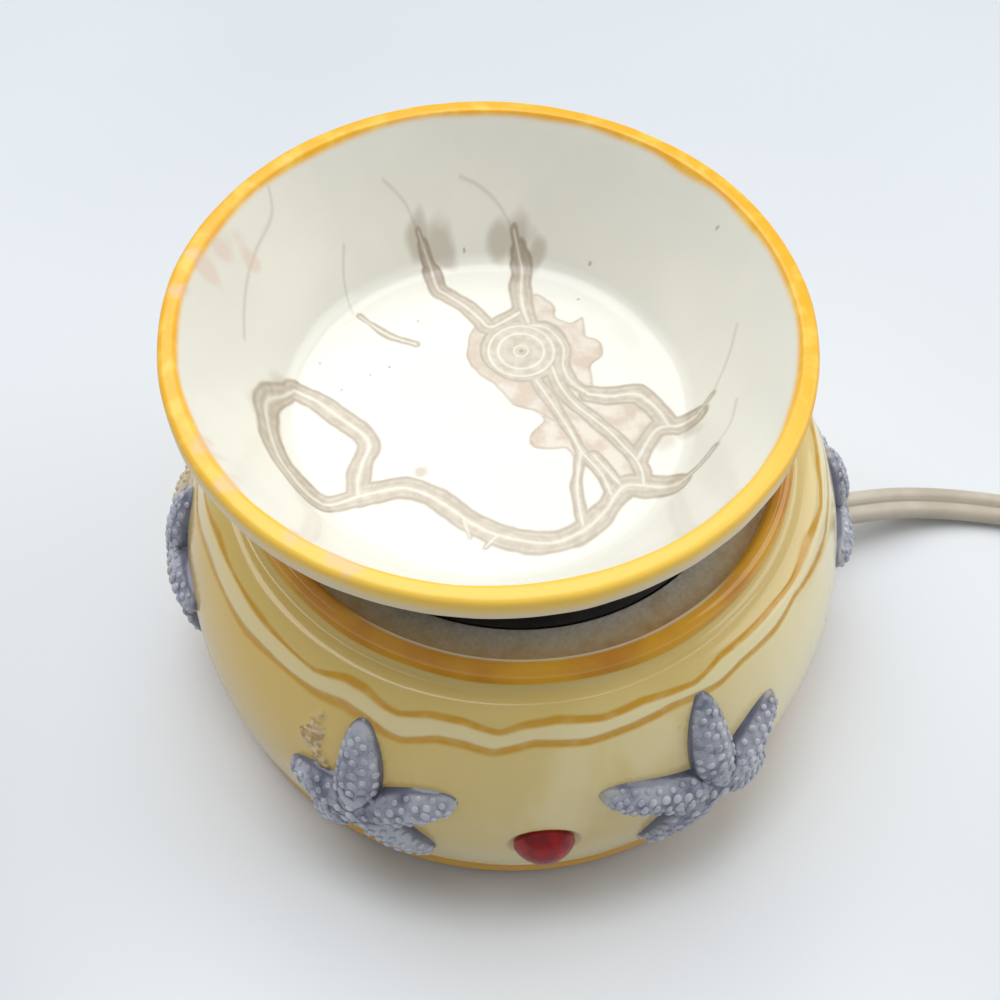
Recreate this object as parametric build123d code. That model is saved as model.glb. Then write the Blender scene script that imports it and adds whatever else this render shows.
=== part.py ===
from build123d import *
from math import asin, atan2, cos, degrees, radians, sin, sqrt, tan
import os

# A plug-in ceramic wax melt warmer: a pot-bellied glazed body with six cast starfish, a black hot
# plate in its mouth, and a wide flared dish that lifts off the plate.
# Millimetres. The origin is the centre of the base, on the surface the warmer stands on, +Z is up,
# and the indicator lens faces -Y. An azimuth counts from the front (-Y) towards +X.
# A name that ends in share is a share of another size.

# Body: outside shape
foot_gap = 1.0                  # height of the ceramic foot ring above the table
foot_in = 2.4                   # how far the foot stands in from the belly
foot_edge_r = 1.2               # rounding of the foot ring's lower edge
foot_band_z = 4.2               # top of the straight foot band
belly_r = 63.6
belly_z = 24.7
neck_z = 56.0                   # where the shoulder runs level into the lip
neck_fillet = 1.4
shoulder_r = 6.0                # tight arc between the belly's curve and the level neck
lip_in = 13.5                   # how far the lip's outside stands in from the belly
lip_w = 3.5
lip_z = 60.8                    # crest of the rounded lip
# Body: inside
body_wall = 4.5
corner_r = 9.0                  # rounding between the inside's curve and its level ceiling
ledge_drop = 3.3                # from the lip's crest down to the bare ledge
ledge_w = 6.6                   # from the lip in to the seat of the hot plate
ledge_t = 5.8                   # thickness of the ceramic under the ledge
# Bottom plate and its seat in the foot
base_recess = 2.0               # how far the bottom plate sits above the foot ring's edge
base_t = 1.0
base_seat_w = 4.0               # width of the ceramic shelf that the bottom plate bears on
base_shelf_t = 2.0
foot_ring_w = 3.8
base_fit = 0.4                  # radial clearance round the bottom plate
vent_count = 12
vent_l = 11.0
vent_w = 3.0
vent_r = 30.0
# Rubber feet
foot_count = 4
pad_r = 6.5
pad_in = 1.9                    # from the ceramic shelf in to the feet
pad_stem_r = 1.7
pad_barb_r = 2.4
pad_barb_t = 1.4
# Starfish, cast with the body
star_count = 6
seam_azimuth = 33.0             # keeps the body's seam line clear of the starfish
star_z = 28.5
star_arms = 5
star_arm_l = 18.4
star_root_r = 5.2
star_root_proud = 3.7
star_tip_r = 2.5
star_tip_proud = 1.5
star_swell_share = 1.06         # the knobs at an arm's ends, as a share of the arm there
star_turn = 11.0                # turn of the starfish right of the front, anticlockwise, degrees
# Hot plate and what is clamped under it
plate_fit = 0.4                 # radial clearance of the plate in its seat
plate_drop = 0.3                # plate top below the ledge
plate_flange_t = 1.5
plate_t = 2.5
plate_skirt_gap = 0.5           # radial clearance of the plate's thick centre in the mouth
seat_w = 3.5                    # width of the ceramic seat under the plate's flange
gasket_t = 0.8
stud_r = 2.5
stud_fit = 0.3
element_in = 9.6                # how far the element stands in from the plate's edge
element_t = 3.0
insulation_over = 2.0           # how far the insulation reaches past the element
insulation_t = 4.0
shield_t = 0.8
shield_fit = 0.5
shield_wall_h = 6.0
bridge_t = 2.0
bridge_w = 18.0
bridge_gap = 1.2                # between the heat shield's rim and the bridge's risers
bridge_pad_l = 7.0
washer_r = 5.0
washer_t = 1.2
nut_flats = 8.0
nut_t = 4.0
stud_tail = 14.0                # stud below the nut
thread_fit = 0.05
# Column between the stud and the bottom plate
column_flats = 8.0
column_grip = 10.0              # how far the stud runs into the column
column_floor = 1.0              # spare bore past the stud and past the screw
base_screw_r = 2.0
base_screw_l = 10.0
base_head_r = 3.8
base_head_t = 1.7
# Thermal fuse under the heat shield
fuse_r = 2.0
fuse_l = 11.0
fuse_in = 10.0                  # from the element's edge in to the fuse
clip_t = 0.6
clip_w = 6.0
clip_tab_l = 5.0
clip_fit = 0.05
rivet_r = 1.0
rivet_head_r = 1.9
rivet_head_t = 0.8
# Indicator
lens_z = 21.5
lens_r = 5.5
lens_dome_h = 3.4
lens_seat_depth = 0.7
lens_fit = 0.2
lens_barrel_r = 4.2
lens_barrel_l = 13.0
lens_wall = 0.8
push_nut_r = 7.0
push_nut_t = 0.8
lamp_r = 2.9
lamp_l = 11.0
lamp_inset = 1.0                # lamp's foot inside the barrel's open end
resistor_r = 1.6
resistor_l = 8.0
# Dish
dish_flare = 18.0               # how far the wall leans out, from the floor's edge to the rim
rim_w = 3.0                     # width of the coloured rim
rim_edge_r = 1.2
rim_face_h = 4.4                # height of the rim's upright outer face
rim_under_h = 1.6               # height over which the rim's underside runs back into the wall
dish_h = 31.3                   # from the hot plate to the rim
dish_depth = 24.6
dish_floor_in = 3.6             # from the hot plate's edge in to the edge of the dish's floor
dish_corner_r = 9.0
dish_wall = 3.9
dish_foot_in = 8.6              # from the hot plate's edge in to the dish's foot ring
dish_foot_w = 3.5
dish_foot_h = 2.2
dish_shift = (-5.1, 1.1)        # how far off centre the loose dish stands
dish_lift = 60.0                # travel that takes the dish clear of the body
# Flat two-core cord and its strain relief
cord_w = 7.6
cord_t = 3.8
exit_azimuth = 98.5
exit_z = 10.9
exit_dip = 10.0                 # slope of the strain relief towards the table, degrees
relief_w = 10.8
relief_t = 7.0
relief_out = 10.0               # reach outside the body
relief_taper_share = 0.82       # outer end's section as a share of the section at the wall
relief_collar = 1.2
relief_collar_t = 1.6
relief_fit = 0.15
wire_r = 0.9
splice_r = 2.3
splice_l = 14.0
splice_in = 10.4                # from the strain relief in to the splices
splice_z = 12.0
splice_y = (4.5, 11.0)
splice_pair = 1.1               # offset of the two wires that leave a splice side by side
splice_lead = 4.0               # straight wire beside a splice or the strain relief
# Coil of the put-away cord
coil_centre = (belly_r + 173.9, 6.0)
coil_outer_r = 50.0             # centre line of the outermost turn
coil_layer_turns = 2            # turns in each of the two layers
coil_gap = 0.9                  # between turns and between layers
# In-line switch
switch_l = 56.0
switch_w = 25.0
switch_h = 17.0
switch_wall = 2.0
cord_entry_z = 4.2              # centre of the cord where it enters the housing
switch_split_share = 0.42       # height of the housing's parting plane as a share of switch_h
switch_end_share = 0.62         # end width as a share of switch_w
switch_edge_r = 2.0
wheel_r = 8.0
wheel_w = 5.0
wheel_proud = 2.2
wheel_gap = 0.5
wheel_pin_r = 1.6
wheel_pin_l = 2.4
wheel_pin_fit = 0.08
wheel_ridges = 24
wheel_ridge_r = 0.5
wheel_turn = 50.0               # from off to on, degrees
contact_t = 0.8
contact_w = 4.0
contact_l = 14.0
contact_side = 7.0              # from the switch's middle to a contact
switch_screw_r = 1.3
switch_screw_head_r = 2.3
switch_screw_head_t = 1.4
switch_screw_place = (18.0, 7.0)
# Plug
plug_l = 33.0
plug_w = 25.0
plug_t = 14.0
plug_neck_w = 12.0
plug_neck_t = 8.0
plug_corner_r = 3.0
plug_waist_share = 0.55         # how far along the plug its neck has widened
plug_round_share = 0.4          # greatest rounding, as a share of the height there
blade_w = 6.35
blade_t = 1.5
blade_l = 16.5
blade_pitch = 12.7
blade_sunk = 6.0

cut_over = 1.0                  # overrun of every cutting tool
arc_share = 0.45                # arc at a route's corner, as a share of its shorter run

# Cord routes, chosen by hand: x, y, z of the centre line
end_run = 11.5                  # straight cord in front of each piece that it enters
lead_points = [
    (belly_r + 30.9, 14.7, 3.8),
    (belly_r + 42.9, 14.1, 2.1),
    (belly_r + 54.9, 10.9, 2.2),
]
switch_at = (belly_r + 75.1, -0.4)  # middle of the switch's first end
switch_heading = -33.0          # degrees from +X
main_points = [
    (belly_r + 142.8, -41.7, 3.0),
]
plug_at = (belly_r + 131.8, 51.2)   # middle of the plug's cord end
plug_heading = 196.0

# Ways of the wires inside, chosen by hand: x, y, z of the centre line
feed_points = [
    (18.0, 16.0, 22.0),
]
feed_turn_x = 17.0
feed_turn_z = 34.0
feed_lead = 7.5                 # straight wire in front of the fuse
return_points = [
    (23.0, 3.0, 22.0),
]
return_lead = 14.0              # straight wire under the element
lamp_points = [
    (18.0, 2.0, 7.5),
    (11.0, -14.0, 7.5),
]
lamp_lead = 16.0                # straight wire in front of the lamp
lamp_wire_x = 1.5
resistor_points = [
    (14.0, -12.0, 13.0),
]
resistor_lead = 6.0             # straight wire in front of the resistor
resistor_gap = 3.0              # bare lead between the lamp and its resistor

# Radii worked out from the sizes above
foot_r = belly_r - foot_in
lip_outer_r = belly_r - lip_in
lip_inner_r = lip_outer_r - lip_w
seat_r = lip_inner_r - ledge_w
plate_r = seat_r - plate_fit
mouth_r = seat_r - seat_w
element_r = plate_r - element_in
insulation_r = element_r + insulation_over
fuse_y = element_r - fuse_in
dish_floor_r = plate_r - dish_floor_in
dish_foot_r = plate_r - dish_foot_in
rim_r = dish_floor_r + dish_flare
base_ring_r = foot_r - foot_ring_w
base_shelf_r = base_ring_r - base_seat_w
pad_place_r = base_shelf_r - pad_r - pad_in
neck_r = lip_outer_r + neck_fillet
lip_round_r = lip_w / 2

# Heights worked out from the sizes above
base_low_z = foot_gap + base_recess
base_top_z = base_low_z + base_t
lip_mid_z = lip_z - lip_round_r
ledge_z = lip_z - ledge_drop
plate_top_z = ledge_z - plate_drop
seat_z = plate_top_z - plate_flange_t - gasket_t
ceiling_z = ledge_z - ledge_t
element_top_z = plate_top_z - plate_t
insulation_top_z = element_top_z - element_t
shield_top_z = insulation_top_z - insulation_t
bridge_top_z = shield_top_z - shield_t
washer_top_z = bridge_top_z - bridge_t
nut_top_z = washer_top_z - washer_t
stud_low_z = nut_top_z - nut_t - stud_tail
column_top_z = stud_low_z + column_grip

# Arcs of the body's side
foot_arc_r = ((belly_z - foot_band_z) ** 2 + (belly_r - foot_r) ** 2) / (2 * (belly_r - foot_r))
shoulder_low = neck_z - shoulder_r - belly_z
belly_arc_r = (((belly_r - neck_r) ** 2 + shoulder_low ** 2 - shoulder_r ** 2)
               / (2 * (belly_r - neck_r - shoulder_r)))


def heading(azimuth):
    """The level direction at an azimuth counted from the front towards +X."""
    return Vector(sin(radians(azimuth)), -cos(radians(azimuth)), 0)


def arc_radius(z, inset=0):
    """Radius of the body's curved side at height z, or of a surface that lies inset within it."""
    arc_r = belly_arc_r if z > belly_z else foot_arc_r
    return belly_r - arc_r + sqrt((arc_r - inset) ** 2 - (z - belly_z) ** 2)


def turned(outline):
    """The solid that a closed outline of (radius, height) sweeps out round Z."""
    return revolve(Plane.XZ * make_face(outline), Axis.Z)


def ring(outer_r, inner_r, low, high):
    """A plain ring, or a disc where inner_r is 0."""
    corners = [(inner_r, low), (outer_r, low), (outer_r, high), (inner_r, high)]
    return turned(Polyline(*corners, close=True))


def hexagon(flats, low, high):
    """A hexagonal bar round Z."""
    return extrude(Plane.XY.offset(low) * RegularPolygon(flats / 2, 6, major_radius=False), high - low)


# Body

def side_curve(low_z, neck_low_z, small_r, inset):
    """The bulging side in three tangent arcs, up to where it runs level, and that point's radius."""
    low_r = foot_arc_r - inset
    high_r = belly_arc_r - inset
    high_x = belly_r - belly_arc_r
    rise = neck_low_z - small_r - belly_z
    small_x = high_x + sqrt((high_r - small_r) ** 2 - rise ** 2)
    low_angle = -degrees(asin((belly_z - low_z) / low_r))
    join = degrees(asin(rise / (high_r - small_r)))
    curve = CenterArc((belly_r - foot_arc_r, belly_z), low_r, low_angle, -low_angle)
    curve += CenterArc((high_x, belly_z), high_r, 0, join)
    curve += CenterArc((small_x, belly_z + rise), small_r, join, 90 - join)
    return curve, small_x


def body_outline():
    """The outside of the body down to the axis, as a closed outline."""
    curve, top_r = side_curve(foot_band_z, neck_z, shoulder_r, 0)
    outline = Polyline((0, foot_gap), (foot_r - foot_edge_r, foot_gap))
    outline += CenterArc((foot_r - foot_edge_r, foot_gap + foot_edge_r), foot_edge_r, -90, 90)
    outline += Line((foot_r, foot_gap + foot_edge_r), (foot_r, foot_band_z))
    outline += curve
    outline += CenterArc((top_r, neck_z + neck_fillet), neck_fillet, 180, 90)
    outline += Line((lip_outer_r, neck_z + neck_fillet), (lip_outer_r, lip_mid_z))
    outline += CenterArc((lip_outer_r - lip_round_r, lip_mid_z), lip_round_r, 0, 180)
    outline += Polyline((lip_inner_r, lip_mid_z), (lip_inner_r, ledge_z), (0, ledge_z), (0, foot_gap))
    return outline


def cavity_outline():
    """The hollow of the body, from under the foot up to the ledge, as a closed outline."""
    shelf_z = base_top_z + base_shelf_t
    curve, top_r = side_curve(shelf_z, ceiling_z, corner_r, body_wall)
    over_z = ledge_z + cut_over
    under_z = foot_gap - cut_over
    outline = Polyline((0, under_z), (base_ring_r, under_z), (base_ring_r, base_top_z),
                       (base_shelf_r, base_top_z), (base_shelf_r, shelf_z),
                       (arc_radius(shelf_z, body_wall), shelf_z))
    outline += curve
    outline += Polyline((top_r, ceiling_z), (mouth_r, ceiling_z), (mouth_r, seat_z), (seat_r, seat_z),
                        (seat_r, over_z), (0, over_z), (0, under_z))
    return outline


def on_belly(azimuth, z, proud):
    """A point over the body's surface."""
    return heading(azimuth) * (arc_radius(z) + proud) + Vector(0, 0, z)


def starfish(azimuth, turn):
    """A five-armed starfish of tapered round arms that follows the belly, turned anticlockwise."""
    root = on_belly(azimuth, star_z, star_root_proud - star_root_r)
    arms = []
    for arm in range(star_arms):
        lean = radians(arm * 360 / star_arms - turn)
        tip_z = star_z + star_arm_l * cos(lean)
        tip_azimuth = azimuth + degrees(star_arm_l * sin(lean) / belly_r)
        tip = on_belly(tip_azimuth, tip_z, star_tip_proud - star_tip_r)
        reach = tip - root
        arms.append(Solid.make_cone(star_root_r, star_tip_r, reach.length, Plane(root, z_dir=reach)))
        arms.append(Solid.make_sphere(star_tip_r * star_swell_share, Plane(tip, z_dir=reach)))
    return Solid.make_sphere(star_root_r * star_swell_share, Plane(root)).fuse(*arms)


def lens_plane():
    """Plane on the floor of the lens's seat, facing out of the body."""
    floor_r = arc_radius(lens_z) - lens_seat_depth
    return Plane(heading(0) * floor_r + Vector(0, 0, lens_z), z_dir=heading(0))


def relief_plane(reach):
    """Plane across the dipping strain relief at a reach from the wall, facing out, with its Y up."""
    level = heading(exit_azimuth)
    out = level * cos(radians(exit_dip)) - Vector(0, 0, sin(radians(exit_dip)))
    start = level * arc_radius(exit_z) + Vector(0, 0, exit_z)
    return Plane(start + out * reach, x_dir=Vector(0, 0, 1).cross(level), z_dir=out)


def slot_bar(width, height, start, end, end_share=1):
    """A bar of stadium section along the strain relief's axis, tapered where end_share is set."""
    near = relief_plane(start) * SlotOverall(width, height)
    if end_share == 1:
        return extrude(near, end - start)
    return loft([near, relief_plane(end) * SlotOverall(width * end_share, height * end_share)])


def body_shell():
    shell = Rot(0, 0, seam_azimuth) * turned(body_outline())
    for place in range(star_count):
        azimuth = (place + 1 / 2) * 360 / star_count
        shell += starfish(azimuth, star_turn if place == 0 else 0)
    shell -= Rot(0, 0, seam_azimuth) * turned(cavity_outline())
    seat = lens_plane()
    shell -= seat * ring(lens_r + lens_fit, 0, 0, lens_seat_depth + lens_dome_h)
    shell -= seat * ring(lens_barrel_r + lens_fit, 0, -2 * body_wall, cut_over)
    hole_w = relief_w + 2 * relief_fit
    hole_t = relief_t + 2 * relief_fit
    shell -= slot_bar(hole_w, hole_t, -3 * body_wall, 2 * cut_over)
    return shell


# Dish, with its origin under its own foot

def dish():
    floor_z = dish_h - dish_depth
    slope = atan2(dish_depth, rim_r - rim_w - dish_floor_r)
    rim_in = (rim_r - rim_w, dish_h)
    inner = FilletPolyline((0, floor_z), (dish_floor_r, floor_z), rim_in, radius=dish_corner_r)
    across = Vector(sin(slope), -cos(slope)) * dish_wall
    under_z = floor_z - dish_wall
    along = Vector(cos(slope), sin(slope))
    knee = Vector(dish_floor_r, floor_z) + across
    knee_r = knee.X + (under_z - knee.Y) / tan(slope)
    rim_low = knee + along * ((dish_h - rim_face_h - rim_under_h - knee.Y) / sin(slope))
    outer = FilletPolyline((dish_foot_r, under_z), (knee_r, under_z), (rim_low.X, rim_low.Y),
                           (rim_r, dish_h - rim_face_h), radius=dish_wall)
    outline = inner
    outline += Polyline(rim_in, (rim_r - rim_edge_r, dish_h))
    outline += CenterArc((rim_r - rim_edge_r, dish_h - rim_edge_r), rim_edge_r, 0, 90)
    outline += Line((rim_r, dish_h - rim_edge_r), (rim_r, dish_h - rim_face_h))
    outline += outer
    foot_in_r = dish_foot_r - dish_foot_w
    outline += Polyline((dish_foot_r, under_z), (dish_foot_r, 0), (foot_in_r, 0), (foot_in_r, dish_foot_h),
                        (0, dish_foot_h), (0, floor_z))
    return Pos(*dish_shift, plate_top_z) * turned(outline)


# Hot plate stack

def hot_plate():
    thick_r = mouth_r - plate_skirt_gap
    flange_z = plate_top_z - plate_flange_t
    corners = [(0, plate_top_z), (plate_r, plate_top_z), (plate_r, flange_z), (thick_r, flange_z),
               (thick_r, element_top_z), (stud_r, element_top_z), (stud_r, stud_low_z), (0, stud_low_z)]
    return turned(Polyline(*corners, close=True))


def lead_holes(low, high):
    """Tools for the two holes that the element's leads pass through."""
    holes = [Pos(x, y, 0) * ring(wire_r + stud_fit, 0, low, high) for x, y in (fuse_lead_at, return_lead_at)]
    return holes[0] + holes[1]


fuse_lead_at = (-fuse_l / 2 - clip_tab_l, fuse_y)
return_lead_at = (element_r - 2 * clip_tab_l, -bridge_w + stud_r)
fuse_z = bridge_top_z - fuse_r - clip_fit


def heating_element():
    return ring(element_r, stud_r + stud_fit, insulation_top_z, element_top_z)


def rivet_places():
    """Middle of each fuse clip tab."""
    side = fuse_r + clip_t + clip_tab_l / 2
    return [(0, fuse_y - side), (0, fuse_y + side)]


def insulation_disc():
    disc = ring(insulation_r, stud_r + stud_fit, shield_top_z, insulation_top_z)
    disc -= lead_holes(shield_top_z - cut_over, insulation_top_z + cut_over)
    for x, y in rivet_places():
        head = ring(rivet_head_r + stud_fit, 0, shield_top_z - cut_over, shield_top_z + rivet_head_t)
        disc -= Pos(x, y, 0) * head
    return disc


def heat_shield():
    inner_r = insulation_r + shield_fit
    outer_r = inner_r + shield_t
    bore_r = stud_r + stud_fit
    wall_z = bridge_top_z + shield_wall_h
    corners = [(bore_r, bridge_top_z), (outer_r, bridge_top_z), (outer_r, wall_z), (inner_r, wall_z),
               (inner_r, shield_top_z), (bore_r, shield_top_z)]
    pan = turned(Polyline(*corners, close=True))
    pan -= lead_holes(bridge_top_z - cut_over, shield_top_z + cut_over)
    rivet_hole = ring(rivet_r + thread_fit, 0, bridge_top_z - cut_over, shield_top_z + cut_over)
    for x, y in rivet_places():
        pan -= Pos(x, y, 0) * rivet_hole
    return pan


def bridge_bracket():
    """A stepped strap that hooks under the body's ceiling and is pulled up by the stud's nut."""
    riser_x = insulation_r + shield_fit + shield_t + bridge_gap
    end_x = riser_x + bridge_t + bridge_pad_l
    half = [(riser_x, bridge_top_z), (riser_x, ceiling_z), (end_x, ceiling_z), (end_x, ceiling_z - bridge_t),
            (riser_x + bridge_t, ceiling_z - bridge_t), (riser_x + bridge_t, washer_top_z)]
    corners = half + [(-x, z) for x, z in reversed(half)]
    strap = extrude(Plane.XZ * make_face(Polyline(*corners, close=True)), bridge_w / 2, both=True)
    return strap - ring(stud_r + stud_fit, 0, washer_top_z - cut_over, bridge_top_z + cut_over)


def stud_nut():
    low = nut_top_z - nut_t
    bore = ring(stud_r + thread_fit, 0, low - cut_over, nut_top_z + cut_over)
    return hexagon(nut_flats, low, nut_top_z) - bore


def support_column():
    bar = hexagon(column_flats, base_top_z, column_top_z)
    bar -= ring(stud_r + thread_fit, 0, stud_low_z - column_floor, column_top_z + cut_over)
    screw_end_z = base_low_z + base_screw_l
    bar -= ring(base_screw_r + thread_fit, 0, base_top_z - cut_over, screw_end_z + column_floor)
    return bar


# Thermal fuse, its clip and two rivets

def along_x(radius, start_x, end_x, y, z):
    """A round bar along X."""
    return extrude(Plane((start_x, y, z), z_dir=(1, 0, 0)) * Circle(radius), end_x - start_x)


def fuse_clip():
    inner = fuse_r + clip_fit
    outer = inner + clip_t
    side = fuse_r + clip_t + clip_tab_l
    section = Pos(fuse_y, fuse_z) * Circle(outer)
    section += Pos(fuse_y, (fuse_z + bridge_top_z) / 2) * Rectangle(2 * outer, bridge_top_z - fuse_z)
    section += Pos(fuse_y, bridge_top_z - clip_t / 2) * Rectangle(2 * side, clip_t)
    section -= Pos(fuse_y, fuse_z) * Circle(inner)
    section -= Pos(fuse_y, (fuse_z + bridge_top_z) / 2) * Rectangle(2 * inner, bridge_top_z - fuse_z)
    section &= Pos(fuse_y, bridge_top_z - side) * Rectangle(2 * side, 2 * side)
    clip = extrude(Plane.YZ * section, clip_w / 2, both=True)
    rivet_hole = ring(rivet_r + thread_fit, 0, bridge_top_z - clip_t - cut_over, bridge_top_z + cut_over)
    for x, y in rivet_places():
        clip -= Pos(x, y, 0) * rivet_hole
    return clip


def fuse_rivet(x, y):
    tab_z = bridge_top_z - clip_t
    corners = [(0, tab_z - rivet_head_t), (rivet_head_r, tab_z - rivet_head_t), (rivet_head_r, tab_z),
               (rivet_r, tab_z), (rivet_r, shield_top_z), (rivet_head_r, shield_top_z),
               (rivet_head_r, shield_top_z + rivet_head_t), (0, shield_top_z + rivet_head_t)]
    return Pos(x, y, 0) * turned(Polyline(*corners, close=True))


# Bottom

def pad_places():
    return [heading((place + 1 / 2) * 360 / foot_count) * pad_place_r for place in range(foot_count)]


def base_plate():
    plate = ring(base_ring_r - base_fit, base_screw_r + stud_fit, base_low_z, base_top_z)
    for place in pad_places():
        plate -= Pos(place) * ring(pad_stem_r + thread_fit, 0, base_low_z - cut_over, base_top_z + cut_over)
    under = Plane.XY.offset(base_low_z - cut_over)
    vent = extrude(under * SlotOverall(vent_l, vent_w), base_t + 2 * cut_over)
    for place in PolarLocations(vent_r, vent_count):
        plate -= place * vent
    return plate


def rubber_foot(place):
    corners = [(0, 0), (pad_r, 0), (pad_r, base_low_z), (pad_stem_r, base_low_z), (pad_stem_r, base_top_z),
               (pad_barb_r, base_top_z), (pad_stem_r, base_top_z + pad_barb_t), (0, base_top_z + pad_barb_t)]
    return Pos(place) * turned(Polyline(*corners, close=True))


def base_screw():
    head_z = base_low_z - base_head_t
    end_z = base_low_z + base_screw_l
    corners = [(0, head_z), (base_head_r, head_z), (base_head_r, base_low_z), (base_screw_r, base_low_z),
               (base_screw_r, end_z), (0, end_z)]
    return turned(Polyline(*corners, close=True))


# Indicator

def indicator_lens():
    dome = Polyline((0, lens_seat_depth), (lens_barrel_r - lens_wall, lens_seat_depth),
                    (lens_barrel_r - lens_wall, -lens_barrel_l), (lens_barrel_r, -lens_barrel_l),
                    (lens_barrel_r, 0), (lens_r, 0), (lens_r, lens_seat_depth))
    ball_r = (lens_r ** 2 + lens_dome_h ** 2) / (2 * lens_dome_h)
    edge = degrees(asin((ball_r - lens_dome_h) / ball_r))
    dome += CenterArc((0, lens_seat_depth + lens_dome_h - ball_r), ball_r, edge, 90 - edge)
    dome += Line((0, lens_seat_depth + lens_dome_h), (0, lens_seat_depth))
    return lens_plane() * turned(dome)


def push_nut():
    """A spring ring on the lens's barrel that bears on the inside of the wall."""
    high = arc_radius(lens_z - push_nut_r, body_wall) - thread_fit - (arc_radius(lens_z) - lens_seat_depth)
    return lens_plane() * ring(push_nut_r, lens_barrel_r + thread_fit, high - push_nut_t, high)


def neon_lamp():
    low = -lens_barrel_l + lamp_inset
    shoulder = low + lamp_l - lamp_r
    bulb = Polyline((0, shoulder + lamp_r), (0, low), (lamp_r, low), (lamp_r, shoulder))
    bulb += CenterArc((0, shoulder), lamp_r, 0, 90)
    return lens_plane() * turned(bulb)


# Cords and wires

def route_radii(points):
    """The largest arc that fits at each corner of a route."""
    radii = []
    for before, corner, after in zip(points, points[1:], points[2:]):
        first = Vector(corner) - Vector(before)
        second = Vector(after) - Vector(corner)
        half_turn = radians(first.get_angle(second)) / 2
        radii.append(arc_share * min(first.length, second.length) / tan(half_turn))
    return radii


def wire(*points):
    """A round wire along a route."""
    path = FilletPolyline(*points, radius=route_radii(points))
    start = Vector(points[1]) - Vector(points[0])
    return sweep(Plane(points[0], z_dir=start) * Circle(wire_r), path)


def flat_cord(path, start, along):
    """The flat two-core cord along a path, its wide side level where it starts."""
    side = Vector(along.Y, -along.X, 0)
    return sweep(Plane(start, x_dir=side, z_dir=along) * SlotOverall(cord_w, cord_t), path)


def flat_route(points):
    return flat_cord(FilletPolyline(*points, radius=route_radii(points)), points[0],
                     Vector(points[1]) - Vector(points[0]))


# Strain relief, splices and the wires inside

collar_half_t = relief_t / 2 + relief_collar
collar_half_w = relief_w / 2 + relief_collar
inside_r = arc_radius(exit_z - collar_half_t, body_wall)
relief_in = (sqrt(inside_r ** 2 - collar_half_w ** 2) - arc_radius(exit_z)
             - collar_half_t * tan(radians(exit_dip)))
relief_tail = relief_in - relief_collar_t


def strain_relief():
    """A moulded sleeve: a collar inside the wall, a plug through it and a tapered end outside."""
    sleeve = slot_bar(2 * collar_half_w, 2 * collar_half_t, relief_tail, relief_in)
    sleeve += slot_bar(relief_w, relief_t, relief_in, 0)
    return sleeve + slot_bar(relief_w, relief_t, 0, relief_out, relief_taper_share)


core_side = (cord_w - cord_t) / 2
splice_end_x = relief_plane(relief_tail).origin.X - splice_in
splice_far_x = splice_end_x - splice_l
splice_turn_x = splice_far_x - splice_lead
lamp_low = arc_radius(lens_z) - lens_seat_depth - lens_barrel_l + lamp_inset
resistor_near = lamp_low - resistor_gap
resistor_far = resistor_near - resistor_l


def butt_splice(y):
    return along_x(splice_r, splice_far_x, splice_end_x, y, splice_z)


def supply_wire(side, y):
    start = relief_plane(relief_tail).from_local_coords(Vector(side, 0, 0))
    inward = relief_plane(relief_tail).from_local_coords(Vector(side, 0, -splice_lead))
    return wire(start, inward, (splice_end_x + splice_lead, y, splice_z), (splice_end_x, y, splice_z))


def fuse_wires():
    y = splice_y[1] + splice_pair
    feed = wire((splice_far_x, y, splice_z), (splice_turn_x, y, splice_z), *feed_points,
                (feed_turn_x, fuse_y, feed_turn_z), (fuse_l / 2 + feed_lead, fuse_y, fuse_z),
                (fuse_l / 2, fuse_y, fuse_z))
    x, y = fuse_lead_at
    link = wire((-fuse_l / 2, fuse_y, fuse_z), (x, y, fuse_z), (x, y, insulation_top_z))
    return Compound([feed, link])


def return_wire():
    near_y = splice_y[0] + splice_pair
    x, y = return_lead_at
    return wire((splice_far_x, near_y, splice_z), (splice_turn_x, near_y, splice_z), *return_points,
                (x, y, insulation_top_z - return_lead), (x, y, insulation_top_z))


def lamp_wires():
    high_y = splice_y[1] - splice_pair
    low_y = splice_y[0] - splice_pair
    outer = wire((splice_far_x, high_y, splice_z), (splice_turn_x, high_y, splice_z), *lamp_points,
                 (lamp_wire_x, lamp_lead - lamp_low, lens_z), (lamp_wire_x, -lamp_low, lens_z))
    inner = wire((splice_far_x, low_y, splice_z), (splice_turn_x, low_y, splice_z), *resistor_points,
                 (-lamp_wire_x, resistor_lead - resistor_far, lens_z), (-lamp_wire_x, -resistor_far, lens_z))
    bare = wire_line((-lamp_wire_x, -resistor_near, lens_z), (-lamp_wire_x, -lamp_low, lens_z))
    return Compound([outer, inner, bare])


def wire_line(start, end):
    along = Vector(end) - Vector(start)
    return extrude(Plane(start, z_dir=along) * Circle(wire_r), along.length)


def lamp_resistor():
    start = Vector(-lamp_wire_x, -resistor_far, lens_z)
    return extrude(Plane(start, z_dir=(0, -1, 0)) * Circle(resistor_r), resistor_l)


# In-line switch, in its own frame: X along the cord, Y across, Z up from the table

switch_along = Vector(cos(radians(switch_heading)), sin(radians(switch_heading)), 0)
switch_near = Vector(*switch_at, 0)
switch_middle = switch_near + switch_along * (switch_l / 2)
switch_far = switch_near + switch_along * switch_l
switch_frame = Plane(switch_middle, x_dir=switch_along, z_dir=(0, 0, 1))
split_z = switch_split_share * switch_h
axle_z = switch_h + wheel_proud - wheel_r
post_t = wheel_pin_l + wheel_gap
post_w = 4 * wheel_pin_r


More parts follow.
